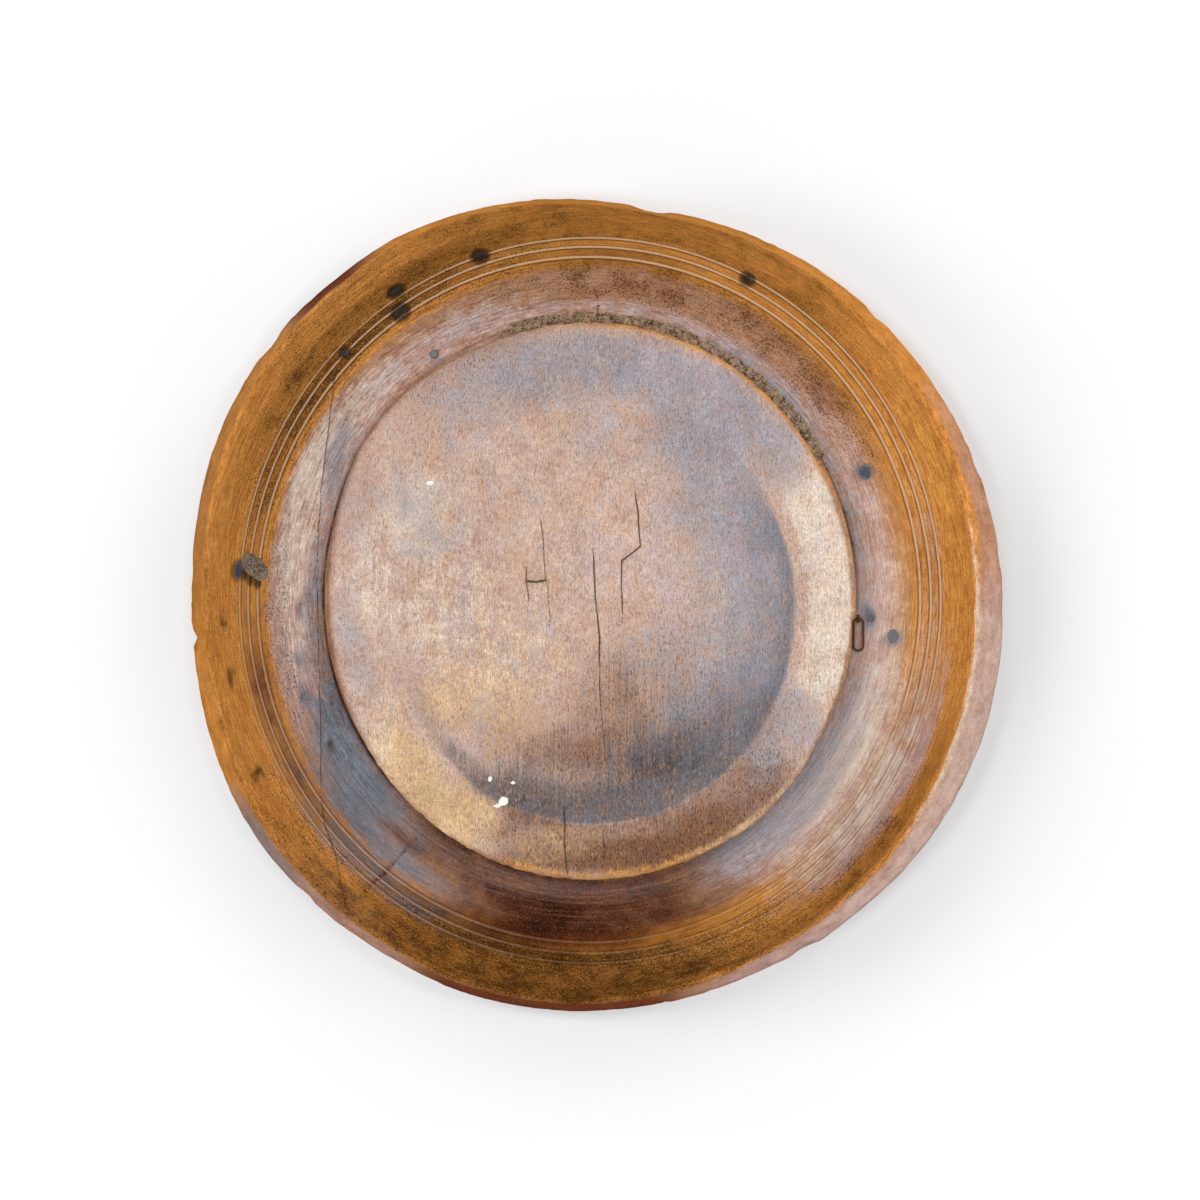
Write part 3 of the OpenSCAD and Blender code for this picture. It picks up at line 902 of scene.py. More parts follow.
# And on the lip: photo angle from and to, strength
lipArcs = {
    "orange": [
        (-60, 0, 0.3), (0, 30, 0.5), (25, 125, 0.9), (136, 184, 0.75), (176, 212, 0.9), (226, 244, 0.35),
    ],
    "brown": [(146, 184, 0.3), (60, 100, 0.25), (243, 284, 0.5)],
    "umber": [(140, 186, 0.25), (225, 244, 0.4)],
    "pink": [(-74, 4, 0.75), (2, 34, 0.45), (225, 243, 0.5), (206, 226, 0.4), (150, 180, 0.15)],
    "grey": [(-60, -5, 0.25)],
    # Pale on the lip is a painted highlight on the right
    "pale": [(-58, 0, 0.37)],
    "steel": [(206, 225, 0.5)],
    "red": [(123, 137, 0.8), (244, 282, 0.75)],
}
# How softly stains and painted light and shade end, and the place where the lip's own colours start, which
# is lower in one arc
stainAndLightFade = {
    "place": 0.06,
    "turn": 15.0,
    "lipTurn": 5.0,
    "warp": 7.0,
    "lipLine": 0.961,
    "lipSoft": 0.004,
    "lipLower": 0.006,
    "lowerArc": (-66, 8, 12),
}


def patchMask(u, v, spots):
    bare = np.ones(len(u))
    for cu, cv, wide, tall, turn, strength in spots:
        c, s = math.cos(math.radians(turn)), math.sin(math.radians(turn))
        a = ((u - cu) * c - (v - cv) * s) / wide
        b = ((u - cu) * s + (v - cv) * c) / tall
        bare *= 1 - strength * (1 - ease(np.hypot(a, b), 0.3, 1.25))
    return 1 - bare


def arcShare(angle, start, end, soft):
    half = (end - start) / 2
    if half >= 180:
        return np.ones(len(angle))
    return 1 - ease(np.abs(angleGap(angle, (start + end) / 2)), half - soft, half + soft)


def ringMask(place, angle, arcs):
    bare = np.ones(len(place))
    for low, high, start, end, strength, *sides in arcs:
        soft = min(stainAndLightFade["place"], (high - low) / 2)
        below, above = sides or (soft, soft)
        band = ease(place, low - below, low + below) * (1 - ease(place, high - above, high + above))
        bare *= 1 - strength * band * arcShare(angle, start, end, stainAndLightFade["turn"])
    return 1 - bare


def lipMask(angle, arcs):
    bare = np.ones(len(angle))
    for start, end, strength in arcs:
        bare *= 1 - strength * arcShare(angle, start, end, stainAndLightFade["lipTurn"])
    return 1 - bare


stainSlant = 0.55  # stains run down the wall, so these lengths count for less


def ironStainAndPlugShadow(points):
    stainAndLight = np.zeros(len(points))
    for angle, place, head, blue, worn in nailPlaces:
        spot = onWall(angle, place)
        away = (points - np.array(spot.translation)) @ np.array(spot.to_3x3()) / mm
        gap = np.hypot(np.hypot(away[:, 0] * stainSlant, away[:, 1]), away[:, 2])
        spread = 1 - ease(gap, head * 0.45, head * 0.5 + 4.5)
        stainAndLight = np.maximum(stainAndLight, (1 - worn) * (1 - 0.45 * blue) * spread)
    # The plug's painted shadow goes into the same mask as the iron stain
    for angle, place, reach in plugShade:
        gap = np.linalg.norm(points - np.array(onWall(angle, place).translation), axis=1) / mm
        stainAndLight = np.maximum(stainAndLight, 1 - ease(gap, reach * 0.3, reach))
    return stainAndLight


def paintBowl(piece):
    mesh = piece.data
    points = coordsOf(mesh)
    place = getAttribute(mesh, "place")
    u, v = photoPixels(points)
    warp = stainAndLightFade["warp"]
    wave = points / mm
    u = u + warp * (noiseAt(wave, 0.045, 2.0) + 0.5 * noiseAt(wave, 0.14, 6.0))
    v = v + warp * (noiseAt(wave, 0.045, 11.0) + 0.5 * noiseAt(wave, 0.14, 15.0))
    angle = photoTurn(u, v)
    shown = 1 - ease(place, 1.16, 1.24)
    lipLine = stainAndLightFade["lipLine"] - stainAndLightFade["lipLower"] * arcShare(angle, *stainAndLightFade["lowerArc"])
    lip = ease(place, lipLine - stainAndLightFade["lipSoft"], lipLine + stainAndLightFade["lipSoft"])
    onFoot = 1 - ease(place, -0.38, -0.372)
    for name in sorted(set(patches) | set(rings)):
        spread = patchMask(u, v, patches.get(name, [])) * (onFoot if name in ("gold", "pale") else 1)
        bare = (1 - spread) * (1 - ringMask(place, angle, rings.get(name, [])))
        amount = (1 - bare) * (1 - lip) + lipMask(angle, lipArcs.get(name, [])) * lip
        setAttribute(mesh, name, amount * shown)
    setAttribute(mesh, "lip", lip * shown)
    setAttribute(mesh, "ironAndPlugShadow", ironStainAndPlugShadow(points) * shown)
    setAttribute(mesh, "inner", 1 - shown)


paintBowl(bowl)
print("bowl stained")


# Old wood: dark and light tone of the ground, and of each stain and each painted shade and highlight, which
# lies over the ones before it
woodGround = {"foot": ("a8826f", "d6bfb0"), "wall": ("8a5d47", "c29878"), "inside": ("6f4526", "9c6c42")}
woodStainsAndLight = {
    "orange": ("a05a1e", "efa856"),
    "brown": ("452608", "8c561c"),
    "umber": ("452a1e", "8f664c"),
    "pink": ("9a7569", "d0b0a7"),
    "gold": ("a98256", "e6c498"),
    "pale": ("c8b09c", "eadccb"),
    "grey": ("766f76", "b3aaac"),
    "red": ("3d160c", "7e3a22"),
    "steel": ("3a414c", "838b96"),
    "smoke": ("3a3537", "7f787b"),
    "dark": ("140b09", "36201a"),
    "amber": ("a2621f", "e4a95a"),
}
# Marks over the stains: tone and strength
woodMarks = {
    "lavender": ("b7a6b4", 0.24),
    "peach": ("dcb898", 0.144),
    "warmFleck": ("cf935f", 0.42),
    "wallFleck": ("b4601f", 0.34),
    "coolFleck": ("8d97a9", 0.512),
    "oilSpeck": ("2e1b0c", 0.68),
    "lightSpeck": ("c28a4c", 0.7),
    "turnLine": ("c99a6c", 0.3),
    "turnShade": ("2c180c", 0.4),
    "pore": ("6b5044", 1.0),
    # Painted shade and painted highlight of the grooves
    "grooveShade": ("2c180c", 1.0),
    "grooveHighlight": ("caa280", 1.0),
    "fleck": ("efebe2", 1.0),
    "crack": ("382818", 0.85),
}
# Noises in the wood: stretch along X, Y and Z, scale, detail, roughness and warp
woodNoise = {
    "slow": ((1, 1, 1), 24, 3, 0.5),
    "blot": ((1, 1, 0.45), 95, 4, 0.6),
    "fine": ((1, 1, 0.45), 420, 4, 0.65),
    "speck": ((1, 1, 0.45), 1500, 2, 0.6),
    "grit": ((1, 1, 0.6), 1100, 3, 0.7),
    "fibre": ((1, 0.2, 1), 1700, 3, 0.65),
    "threads": ((1, 0.03, 1), 1200, 3, 0.6),
    "grain": ((1, 0.05, 1), 340, 5, 0.6, 0.2),
    "pores": ((1, 0.3, 1), 1900, 2, 0.5),
    "tints": ((1, 0.4, 1), 1300, 3, 0.65),
    "clouds": ((1, 0.6, 1), 42, 3, 0.55),
    "clumps": ((1, 0.5, 1), 150, 3, 0.6),
}
# And those that run round the bowl: turns round it, steps up the wall, detail and roughness
roundNoise = {"fibre": (18, 105, 4, 0.65), "turned": (2.6, 120, 3, 0.65)}
# Painted shade beside and in each groove and a painted highlight on its lit wall: shift from its middle,
# where the mark fades from and to, strength
grooveBands = [
    ("grooveShade", 0.012, 0.003, 0.012, 0.6),
    ("grooveShade", -0.011, 0.002, 0.009, 0.4),
    ("grooveHighlight", 0.0, 0.005, 0.0125, 0.95),
]
woodFinish = {
    "crust": ("3a2a1e", "aa8f74"),
    # The iron tones also colour the painted shadow beside the plug
    "ironAndPlugShadow": ("120d0a", "33261d"),
    "ironStrength": 0.85,
    "roughness": 0.44,
    "specular": 0.0,
    "bump": 0.45,
    "bumpDeep": 0.0006,
}


def markWood(s, tone, name, *shares, how="MIX"):
    colour, strength = woodMarks[name]
    return s.mix(s.times(strength, *shares), tone, colour, how)


def stainAndLightWood(s, tone, broken, streak):
    for name, tones in woodStainsAndLight.items():
        stainAndLight = s.attribute(name)
        covered = s.times(s.ramp(s.plus(stainAndLight, broken), 0.1, 0.95), s.ramp(stainAndLight, 0.0, 0.15))
        tone = s.mix(covered, tone, s.mix(streak, *tones))
    return tone


def markGrooves(s, tone, place, n):
    # Painted light and shade of the groove walls, broken where the grooves are filled
    kept = s.rest(s.attribute("filled"))
    broken = s.ramp(n.sharp, 0.36, 0.5)
    held = {
        "grooveShade": s.blend(0.5, kept, broken),
        "grooveHighlight": s.times(kept, s.blend(broken, 0.55, 1.0)),
    }
    for groove in bowlShape["grooves"]:
        past = s.plus(place, -groove, s.centred(n.fine, 0.008))
        for name, shift, near, far, strength in grooveBands:
            away = s.math("ABSOLUTE", s.plus(past, shift))
            tone = markWood(s, tone, name, strength, s.fall(away, near, far), held[name])
    return tone


def woodNoises(s, place):
    found = {name: s.noise(s.coords(stretch), *how) for name, (stretch, *how) in woodNoise.items()}
    n = SimpleNamespace(**found)
    n.sharp = s.blend(0.5, n.fine, n.speck)
    # Round the bowl: direction from the middle and place up the wall
    heading = s.vector("NORMALIZE", {0: s.vector("MULTIPLY", {0: s.coords(), 1: (1, 1, 0)})})
    for name, (turns, steps, detail, rough) in roundNoise.items():
        wide = s.vector("SCALE", {0: heading, "Scale": turns})
        rise = s.add("ShaderNodeCombineXYZ", {2: s.times(place, steps)})
        setattr(n, name + "Round", s.noise(s.vector("ADD", {0: wide, 1: rise}), 1.0, detail, rough))
    return n


def bowlWood():
    s = newShader("bowlWood")
    f = woodFinish
    place, lip, umber, inner = (s.attribute(name) for name in ("place", "lip", "umber", "inner"))
    calm, mottle, lines, crust = (s.attribute(name) for name in ("calm", "mottle", "lines", "crust"))
    lively = s.rest(calm)
    onFoot = s.fall(place, -0.40, -0.36)
    n = woodNoises(s, place)
    fibre = s.blend(s.math("MAXIMUM", onFoot, inner), n.fibreRound, n.fibre)
    # How ragged the stains and painted light and shade are, and how light or dark the grain makes them
    broken = s.plus(s.centred(n.blot, 0.9), s.centred(fibre, 0.5), s.centred(n.fine, 0.4))
    dim = s.ramp(s.plus(umber, s.attribute("smoke")), 0.1, 0.6)
    broken = s.plus(broken, s.times(s.centred(n.threads), s.blend(dim, 0.4, 0.7), onFoot))
    broken = s.times(broken, s.blend(lip, 1.0, 0.35), s.blend(0.5, lively, 1.0))
    streak = s.centred(s.blend(s.blend(onFoot, 0.5, 0.3), n.slow, n.grain), 0.9)
    streak = s.plus(streak, s.centred(fibre, 0.8), 0.5, s.centred(n.blot, 0.8), s.centred(n.fine, 0.5))
    streak = s.blend(s.times(lip, 0.6), streak, 0.5)
    streak = s.blend(s.times(calm, 0.6), streak, 0.55)
    foot, wall, inside = (s.mix(streak, *woodGround[name]) for name in ("foot", "wall", "inside"))
    tone = s.mix(inner, s.mix(onFoot, wall, foot), inside)
    tone = stainAndLightWood(s, tone, broken, streak)
    # Soft clouds of colour on the foot, then warm and cool flecks through its stains
    cloudy = s.times(onFoot, s.blend(dim, 1.0, 0.0833))
    tone = markWood(s, tone, "lavender", s.ramp(n.clouds, 0.52, 0.66), cloudy)
    tone = markWood(s, tone, "peach", s.fall(n.clouds, 0.36, 0.48), cloudy)
    clumped = s.ramp(n.clumps, 0.36, 0.62)
    tone = markWood(s, tone, "warmFleck", s.ramp(n.tints, 0.5, 0.66), clumped, onFoot)
    tone = markWood(s, tone, "wallFleck", s.ramp(n.speck, 0.54, 0.68), lively, s.rest(onFoot))
    cool = s.times(onFoot, s.rest(umber), s.rest(clumped))
    tone = markWood(s, tone, "coolFleck", s.fall(n.tints, 0.34, 0.5), cool)
    # Dark specks of old oil on the wall
    spots = s.plus(s.centred(n.grit, 2.6), s.centred(n.blot, 0.9), s.centred(n.fine, 0.7))
    spots = s.plus(spots, s.times(mottle, 0.45))
    tone = markWood(s, tone, "oilSpeck", s.ramp(spots, 0.22, 0.48), s.ramp(mottle, 0.0, 0.3))
    tone = markWood(s, tone, "lightSpeck", s.fall(n.grit, 0.32, 0.44), mottle)
    # Turning lines, light and dark
    tone = markWood(s, tone, "turnLine", s.ramp(n.turnedRound, 0.54, 0.68), lines)
    tone = markWood(s, tone, "turnShade", s.fall(n.turnedRound, 0.32, 0.46), lines)
    # Light and shade of the fibres, and dark pores
    gain = s.times(s.centred(fibre), s.blend(onFoot, 1.5, 0.6))
    small = s.centred(s.blend(0.75, n.fine, n.speck))
    gain = s.plus(gain, s.times(small, s.blend(onFoot, 1.7, 1.35)))
    gain = s.plus(gain, s.times(s.centred(n.threads, 0.25), onFoot))
    gain = s.times(gain, s.blend(0.25, lively, 1.0), s.blend(lip, 1.0, 0.5))
    tone = s.mix(1.0, tone, s.plus(gain, 1.0), "MULTIPLY")
    holes = s.times(s.ramp(n.pores, 0.54, 0.66), s.blend(onFoot, 0.2, s.blend(umber, 0.3, 0.7)))
    tone = markWood(s, tone, "pore", holes, how="MULTIPLY")
    tone = markGrooves(s, tone, place, n)
    # Iron stain round the nails and painted shadow beside the plug, crumbs, flecks and cracks
    ironAndPlugShadow = s.attribute("ironAndPlugShadow")
    ironAndPlugShadow = s.times(f["ironStrength"], ironAndPlugShadow, s.ramp(s.plus(ironAndPlugShadow, s.blend(0.4, n.fine, n.blot)), 0.75, 1.15))
    tone = s.mix(ironAndPlugShadow, tone, s.mix(n.speck, *f["ironAndPlugShadow"]))
    tone = s.mix(s.ramp(crust, 0.15, 0.6), tone, s.mix(s.ramp(n.sharp, 0.36, 0.64), *f["crust"]))
    tone = markWood(s, tone, "fleck", s.ramp(s.attribute("fleck"), 0.3, 0.7))
    crack = s.fall(s.attribute("crack"), 0.5, 1.7)
    tone = markWood(s, tone, "crack", crack)
    # Finish
    rough = s.plus(s.times(n.fine, 0.22), f["roughness"])
    rough = s.plus(rough, s.times(s.attribute("steel"), -0.1), s.times(crust, 0.3))
    height = s.plus(s.times(n.grain, 0.3), s.times(fibre, 0.35), s.times(holes, -0.4))
    height = s.plus(height, s.times(n.sharp, 0.4), s.times(crack, -0.8))
    return s.finish(tone, rough, height, f["bump"], f["bumpDeep"], f["specular"])


bowl.data.materials.append(bowlWood())


# Iron nails: sizes in millimetres, head diameters with the places above
nailShape = {
    "shankD": 3.0,
    "length": 9.0,
    "point": 3.0,
    "headT": 1.2,
    "dome": 0.3,
    "domeSteps": ((0.12, 0.55), (0.14, 0.25), (0.2, 0.15), (0.25, 0.05)),  # share inwards and of its rise
    "tip": 0.15,  # width of the point's end, as a share of the shank
    "top": 0.45,
    "sides": 24,
    "hammered": 0.16,  # depth of the hammer's dents, and how much wider they are sideways
    "spread": 2.2,
}


def makeNailShape(headD):
    n = nailShape
    sizes = {"vertices": n["sides"], "radius": headD / 2 * mm, "depth": n["headT"] * mm}
    piece = newPiece("nailShape", bpy.ops.mesh.primitive_cylinder_add, **sizes)
    mesh = piece.data
    selectFaces(mesh, lambda normal, middle: True)
    lift(-n["headT"] / 2 * mm)
    # Shank and point
    selectFaces(mesh, lambda normal, middle: normal.z < -0.9)
    bpy.ops.mesh.inset(thickness=(headD - n["shankD"]) / 2 * mm)
    extrude((0, 0, -(n["length"] - n["point"]) * mm))
    extrude((0, 0, -n["point"] * mm))
    bpy.ops.transform.resize(value=(n["tip"], n["tip"], 1))
    # Low dome
    selectFaces(mesh, lambda normal, middle: normal.z > 0.9)
    for share, rise in n["domeSteps"]:
        bpy.ops.mesh.inset(thickness=headD / 2 * share * mm)
        lift(n["dome"] * rise * mm)
    bpy.ops.mesh.poke()
    leaveEdit()
    return piece


def makeNails():
    shapes = {head: makeNailShape(head) for head in sorted({n[2] for n in nailPlaces})}
    made = []
    for i, (angle, place, head, blue, worn) in enumerate(nailPlaces):
        mesh = shapes[head].data.copy()
        nail = bpy.data.objects.new("nail_" + str(i + 1), mesh)
        bpy.context.scene.collection.objects.link(nail)
        points = coordsOf(mesh)
        top = ease(points[:, 2] / mm, -nailShape["headT"] - 0.1, 0.0)
        for axis in range(3):
            dents = noiseAt(points / mm, 0.45, 3.0 * i + 11 * axis)
            wider = 1.0 if axis == 2 else nailShape["spread"]
            points[:, axis] += top * nailShape["hammered"] * dents * mm * wider
        points[:, 2] = np.minimum(points[:, 2], nailShape["top"] * mm)
        setCoords(mesh, points)
        setAttribute(mesh, "blue", np.full(len(points), blue))
        setAttribute(mesh, "worn", np.full(len(points), worn))
        setAttribute(mesh, "edge", np.hypot(points[:, 0], points[:, 1]) / (head / 2 * mm))
        mesh.transform(onWall(angle, place))
        mesh.shade_smooth()
        made.append(nail)
        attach(nail, "bowl")
        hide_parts("nail_" + str(i + 1))
    for shape in shapes.values():
        bpy.data.objects.remove(shape)
    return made


# Each iron: its dark and light tones, those of its rust, the share that has rusted and the roughness
irons = {
    "nailIron": ("0d0a08", "332a24", "2f1a10", "3c2617", 0.4, 0.6),
    "loopIron": ("2b1d16", "5a4030", "2f1a10", "6e4426", 0.7, 0.6),
}
ironFinish = {"bump": 0.5, "bumpDeep": 0.0003, "specular": 0.04}
# The blue and blueEdge tones paint a sky reflection on the iron heads
nailTones = {
    "blue": ("1a202a", "48535f"),
    "worn": ("6c6a6e", "96918f"),
    "edge": ("22150d", "54361f"),
    "blueEdge": ("5a5654", "8a7c76"),
}


def ironMaterial(name):
    low, high, rustLow, rustHigh, rustShare, rough = irons[name]
    s = newShader(name)
    blot = s.noise(s.coords(), 320, 4, 0.6)
    pits = s.noise(s.coords(), 1500, 3, 0.6)
    rust = s.ramp(s.blend(0.35, blot, pits), 0.62 - rustShare * 0.3, 0.72 - rustShare * 0.3)
    tone = s.mix(rust, s.mix(pits, low, high), s.mix(pits, rustLow, rustHigh))
    if name == "nailIron":
        shades = {part: s.mix(pits, *tones) for part, tones in nailTones.items()}
        # Blue heads take a painted sky reflection, worn ones bright iron
        for part in ("blue", "worn"):
            tone = s.mix(s.attribute(part), tone, shades[part])
        brim = s.ramp(s.plus(s.attribute("edge"), s.centred(blot, 1.6), s.centred(pits, 1.2)), 0.72, 1.05)
        rim = s.mix(s.attribute("blue"), shades["edge"], shades["blueEdge"])
        tone = s.mix(s.times(brim, 0.9), tone, rim)
    dull = s.plus(s.times(rust, 0.25), rough)
    return s.finish(tone, dull, s.blend(0.5, blot, pits), *ironFinish.values())


nailIron = ironMaterial("nailIron")
for nail in makeNails():
    nail.data.materials.append(nailIron)
print("nails driven")


# The wooden plug: a broken peg with a frayed end
plugShape = {
    "radius": 6.4,
    "depth": 8.0,
    "proud": 2.15,
    "sides": 48,
    "rings": (0.1, 0.12, 0.14, 0.16, 0.2, 0.24),
    "long": 7.7,  # half length and half width of its frayed end
    "wide": 4.3,
    "lean": -50.0,  # direction of that end across the wall, degrees
    "drawn": 2.1,  # how far it is beaten out down the wall
    "shift": (1.6, 0.6),
    "dome": 2.9,
    "sunk": 0.9,
    "clumps": ("4a3a2e", "85725f"),  # tones
    "fibres": "c4b29a",
    "gaps": "241812",
}
plugFinish = {"bump": 0.8, "bumpDeep": 0.0008, "specular": 0.05}


def makePlug():
    p = plugShape
    sizes = {"vertices": p["sides"], "radius": p["radius"] * mm, "depth": p["depth"] * mm}
    piece = newPiece("wallPlug", bpy.ops.mesh.primitive_cylinder_add, **sizes)
    mesh = piece.data
    selectFaces(mesh, lambda normal, middle: True)
    lift(-p["depth"] / 2 * mm)
    selectFaces(mesh, lambda normal, middle: normal.z > 0.9)
    for share in p["rings"]:
        bpy.ops.mesh.inset(thickness=p["radius"] * share * mm)
    bpy.ops.mesh.poke()
    leaveEdit()
    bpy.ops.object.modifier_add(type="SUBSURF")
    finer = piece.modifiers[-1]
    finer.subdivision_type = "SIMPLE"
    finer.levels = finer.render_levels = 1
    bpy.ops.object.modifier_apply(modifier=finer.name)
    points = coordsOf(mesh) / mm
    top = ease(points[:, 2], -0.6, 0.0)
    lean = math.radians(p["lean"])
    out = np.hypot(points[:, 0], points[:, 1]) / p["radius"]
    lumps = 0.4 * noiseAt(points, 0.55, 4.0) + 0.3 * noiseAt(points, 1.3, 9.0)
    rise = p["dome"] * np.sqrt(np.clip(1 - out**2, 0, 1)) - p["sunk"] + lumps
    points[:, 2] = np.minimum(points[:, 2] + top * rise, p["proud"])
    # The frayed end is long and lies askew
    ragged = 1 + 0.22 * noiseAt(points * (1, 1, 0) / np.maximum(out, 0.2)[:, None], 0.17, 1.0)
    along = points[:, 0] / p["radius"] * p["long"] * ragged
    aside = points[:, 1] / p["radius"] * p["wide"] * ragged
    splayed = p["drawn"] * (along * math.cos(lean) - aside * math.sin(lean))
    across = along * math.sin(lean) + aside * math.cos(lean)
    points[:, 0] += top * (splayed + p["shift"][0] - points[:, 0])
    points[:, 1] += top * (across + p["shift"][1] - points[:, 1])
    setCoords(mesh, points * mm)
    mesh.transform(onWall(*plugPlace))
    mesh.shade_smooth()
    return piece


def plugWood():
    s = newShader("plugWood")
    clumps = s.noise(s.coords(), 420, 4, 0.65)
    fibres = s.noise(s.coords(), 1500, 3, 0.6)
    tone = s.mix(s.ramp(clumps, 0.35, 0.65), *plugShape["clumps"])
    tone = s.mix(s.times(s.ramp(fibres, 0.52, 0.64), 0.7), tone, plugShape["fibres"])
    tone = s.mix(s.fall(fibres, 0.3, 0.42), tone, plugShape["gaps"])
    rough = s.ramp(clumps, -0.6, 1.0, "LINEAR")
    return s.finish(tone, rough, s.blend(0.6, clumps, fibres), *plugFinish.values())


plug = makePlug()
plug.data.materials.append(plugWood())
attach(plug, "bowl")
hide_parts("wall_plug")
print("plug set")


# Hanging loop and the staple that holds it, millimetres
loopShape = {
    "wireD": 1.0,
    "length": 15.4,
    "width": 5.4,
    "gap": 0.5,
    "rest": 0.4,
    "stapleY": 8.1,
    "play": 0.4,
    "bite": 6.0,
    "turns": 40,
    "sides": 12,
    "rust": 0.05,
}


def loopPlace():
    w = loopShape
    x = bowlShape["footR"] * bowlShape["footOval"] + w["gap"] + w["width"] / 2
    return x, w["stapleY"], bowlShape["footH"] - w["rest"] - w["wireD"] / 2


def rustyPoints(mesh, seed):
    points = coordsOf(mesh)
    normals = coordsOf(mesh, "normal")
    pits = noiseAt(points / mm, 1.4, seed) - 0.5
    setCoords(mesh, points + normals * (loopShape["rust"] * pits * mm)[:, None])


def wireRing(name, bendR):
    w = loopShape
    sizes = {"major_radius": bendR * mm, "minor_radius": w["wireD"] / 2 * mm}
    sizes.update(major_segments=w["turns"], minor_segments=w["sides"])
    return newPiece(name, bpy.ops.mesh.primitive_torus_add, **sizes)


def makeLoop():
    w = loopShape
    bendR = (w["width"] - w["wireD"]) / 2
    piece = wireRing("hangingLoop", bendR)
    # Pull the ring apart into a long link
    run = (w["length"] - w["width"]) * mm
    selectFaces(piece.data, lambda normal, middle: middle.y > 0)
    bpy.ops.transform.translate(value=(0, run, 0))
    leaveEdit()
    x, y, z = loopPlace()
    piece.data.transform(Matrix.Translation(Vector((x, y + bendR, z)) * mm))
    rustyPoints(piece.data, 2.0)
    piece.data.shade_smooth()
    return piece


def makeStaple():
    w = loopShape
    piece = wireRing("loopStaple", w["wireD"] + w["play"])
    mesh = piece.data
    mesh.transform(Matrix.Rotation(math.pi / 2, 4, "Y"))
    # Keep the lower half and draw its ends up into the wood
    selectFaces(mesh, lambda normal, middle: middle.z > 0)
    bpy.ops.mesh.delete(type="FACE")
    bpy.ops.mesh.select_all(action="SELECT")
    bpy.ops.mesh.region_to_loop()
    x, y, z = loopPlace()
    leg = bowlShape["footH"] + w["bite"] - z
    for share in (0.1, 0.2, 0.3, 0.4):
        extrude((0, 0, leg * share * mm))
    bpy.ops.mesh.edge_face_add()
    bpy.ops.mesh.select_all(action="SELECT")
    bpy.ops.mesh.normals_make_consistent(inside=False)
    leaveEdit()
    mesh.transform(Matrix.Translation(Vector((x, y, z)) * mm))
    rustyPoints(mesh, 6.0)
    mesh.shade_smooth()
    return piece


loopIron = ironMaterial("loopIron")
loop = makeLoop()
staple = makeStaple()
for piece, body, node in ((loop, "loop", "hanging_loop"), (staple, "bowl", "loop_staple")):
    piece.data.materials.append(loopIron)
    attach(piece, body)
    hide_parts(node)
print("loop hung")


# Stage: a floor seen only from above and a backdrop seen only from below
stageSet = {
    "size": 12.0,
    "floor": -0.0003,
    "backdrop": 0.103,
    "paper": "f3f4f6",
    "glow": 0.27,
    "shade": 0.52,
    "fade": (0.5, 1.4),  # from here to here it turns into the white round it
}


def stageMaterial(name):
    s = newShader(name)
    colour = tuple(c * stageSet["shade"] for c in srgb(stageSet["paper"])[:3]) + (1.0,)
    paper = s.add("ShaderNodeBsdfDiffuse", {"Color": colour})
    glow = s.add("ShaderNodeEmission", {"Color": "ffffff", "Strength": stageSet["glow"]})
    lit = s.add("ShaderNodeAddShader", {0: paper, 1: glow})
    away = s.add("ShaderNodeVectorMath", {0: s.coords()}, operation="LENGTH").outputs["Value"]
    sky = s.add("ShaderNodeEmission", {"Color": "ffffff", "Strength": 1.0})
    lit = s.add("ShaderNodeMixShader", {0: s.ramp(away, *stageSet["fade"]), 1: lit, 2: sky})
    back = s.add("ShaderNodeNewGeometry").outputs["Backfacing"]
    clear = s.add("ShaderNodeBsdfTransparent")
    return s.show(s.add("ShaderNodeMixShader", {0: back, 1: lit, 2: clear}))


def makeStage():
    made = {}
    for name, turn in (("floor", 0), ("backdrop", math.pi)):
        sizes = {"size": stageSet["size"], "location": (0, 0, stageSet[name]), "rotation": (turn, 0, 0)}
        plane = newPiece(name, bpy.ops.mesh.primitive_plane_add, **sizes)
        plane.data.materials.append(stageMaterial(name + "Paper"))
        for kind in ("diffuse", "glossy", "transmission", "volume_scatter", "shadow"):
            setattr(plane, "visible_" + kind, False)
        made[name] = plane
    return made


# Lamps for the bowl and the floor: place, size, watts
lampSet = {
    "underKey": ((0.7, -0.2, -1.3), 1.4, 18.0),
    "underFill": ((-0.8, 0.3, -1.2), 1.6, 9.0),
    "overKey": ((0.9, -0.8, 1.5), 0.9, 30.0),
    "overFill": ((-1.1, 0.7, 1.2), 1.6, 16.0),
}
lampAim = (0, 0, 0.05)
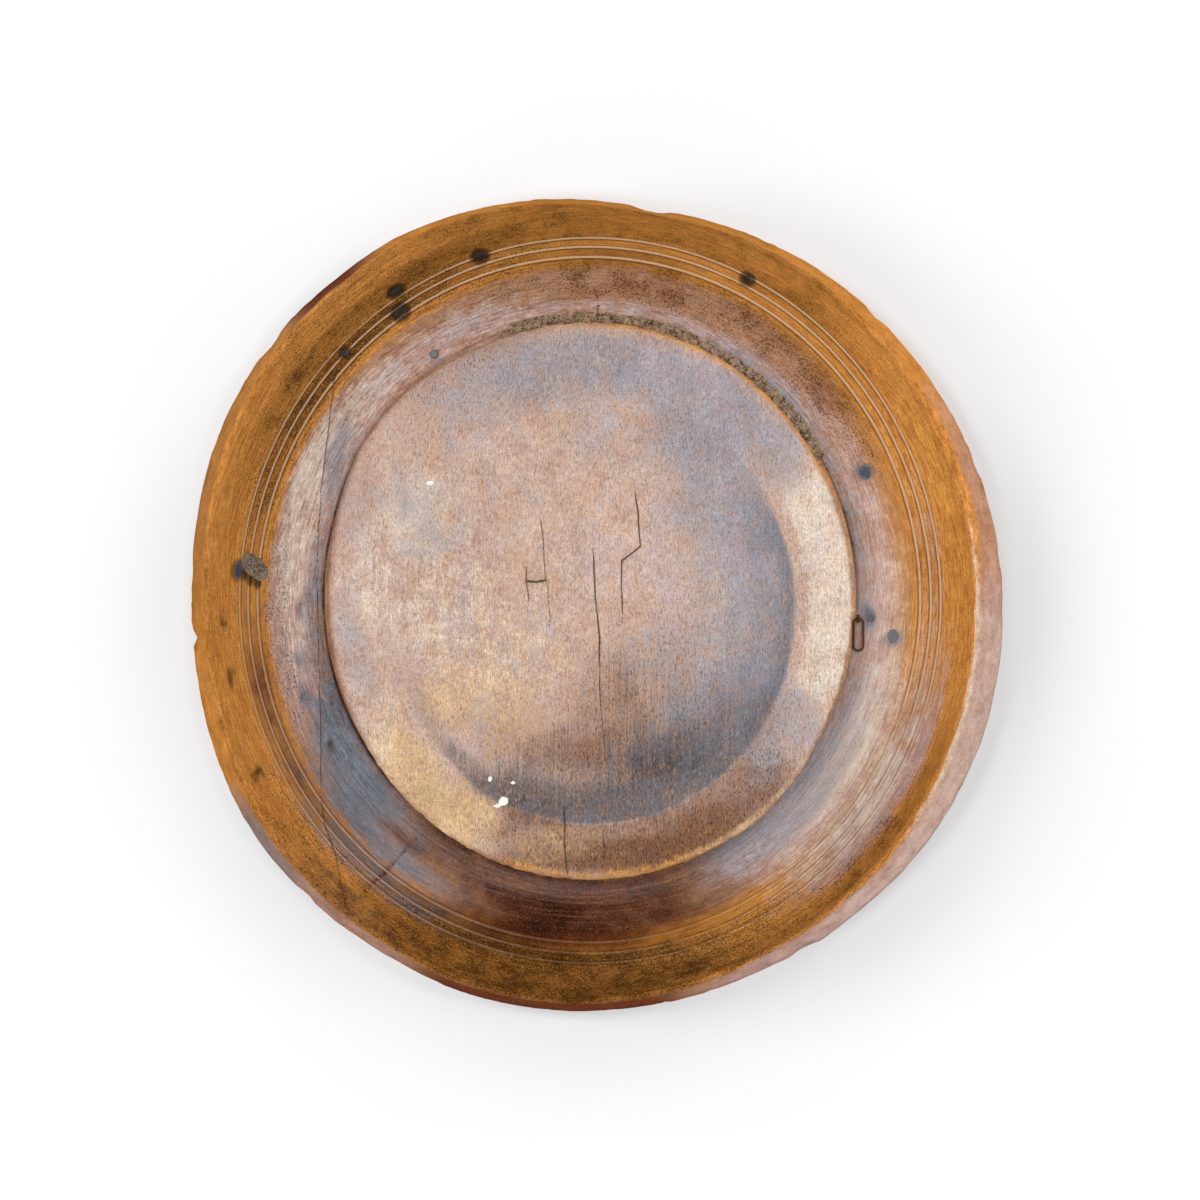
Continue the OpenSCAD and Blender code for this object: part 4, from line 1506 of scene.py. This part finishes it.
# Suns that fall on the backdrop alone and leave the bowl's soft shadow there: direction, strength
backdropSuns = {
    "sunLeftUp": ((-1.0, -0.45, -0.8), 1.65),
    "sunLeftDown": ((-1.0, 0.4, -0.78), 1.4),
    "sunTopLeft": ((-0.4, -1.0, -0.79), 0.65),
    "sunTopRight": ((0.45, -1.0, -0.8), 0.65),
    "sunRight": ((1.0, -0.35, -0.82), 0.9),
    "sunRightDown": ((1.0, 0.45, -0.84), 0.45),
    "sunBottom": ((-0.2, 1.0, -0.76), 0.38),
}
sunSpread = 20.0


def lightGroup(name, plane, state):
    group = bpy.data.collections.new(name)
    group.objects.link(plane)
    group.collection_objects[0].light_linking.link_state = state
    return group


def makeLamp(name, kind, place, group):
    data = bpy.data.lights.new(name, kind)
    lamp = bpy.data.objects.new(name, data)
    bpy.context.scene.collection.objects.link(lamp)
    lamp.location = place
    lamp.rotation_euler = (Vector(lampAim) - Vector(place)).to_track_quat("-Z", "Y").to_euler()
    lamp.light_linking.receiver_collection = group
    return data


def makeLamps(stage):
    allButBackdrop = lightGroup("allButBackdrop", stage["backdrop"], "EXCLUDE")
    for name, (place, size, watts) in lampSet.items():
        data = makeLamp(name, "AREA", place, allButBackdrop)
        data.size = size
        data.energy = watts
    backdropOnly = lightGroup("backdropOnly", stage["backdrop"], "INCLUDE")
    for name, (place, strength) in backdropSuns.items():
        data = makeLamp(name, "SUN", place, backdropOnly)
        data.energy = strength
        data.angle = math.radians(sunSpread)


worldSet = {"tint": (0.97, 0.98, 1.0, 1), "strength": 0.4}


def makeWorld():
    world = bpy.data.worlds.new("studio")
    bpy.context.scene.world = world
    s = Shader(world, "World")
    path = s.add("ShaderNodeLightPath").outputs
    seen = s.math("MAXIMUM", path["Is Camera Ray"], path["Is Glossy Ray"])
    seen = s.math("MAXIMUM", seen, path["Is Transmission Ray"])
    soft = s.add("ShaderNodeBackground", {"Color": worldSet["tint"], "Strength": worldSet["strength"]})
    white = s.add("ShaderNodeBackground", {"Color": "ffffff"})
    s.show(s.add("ShaderNodeMixShader", {0: seen, 1: soft, 2: white}))


makeLamps(makeStage())
makeWorld()
bpy.context.scene.view_settings.view_transform = "Standard"
print("stage set")
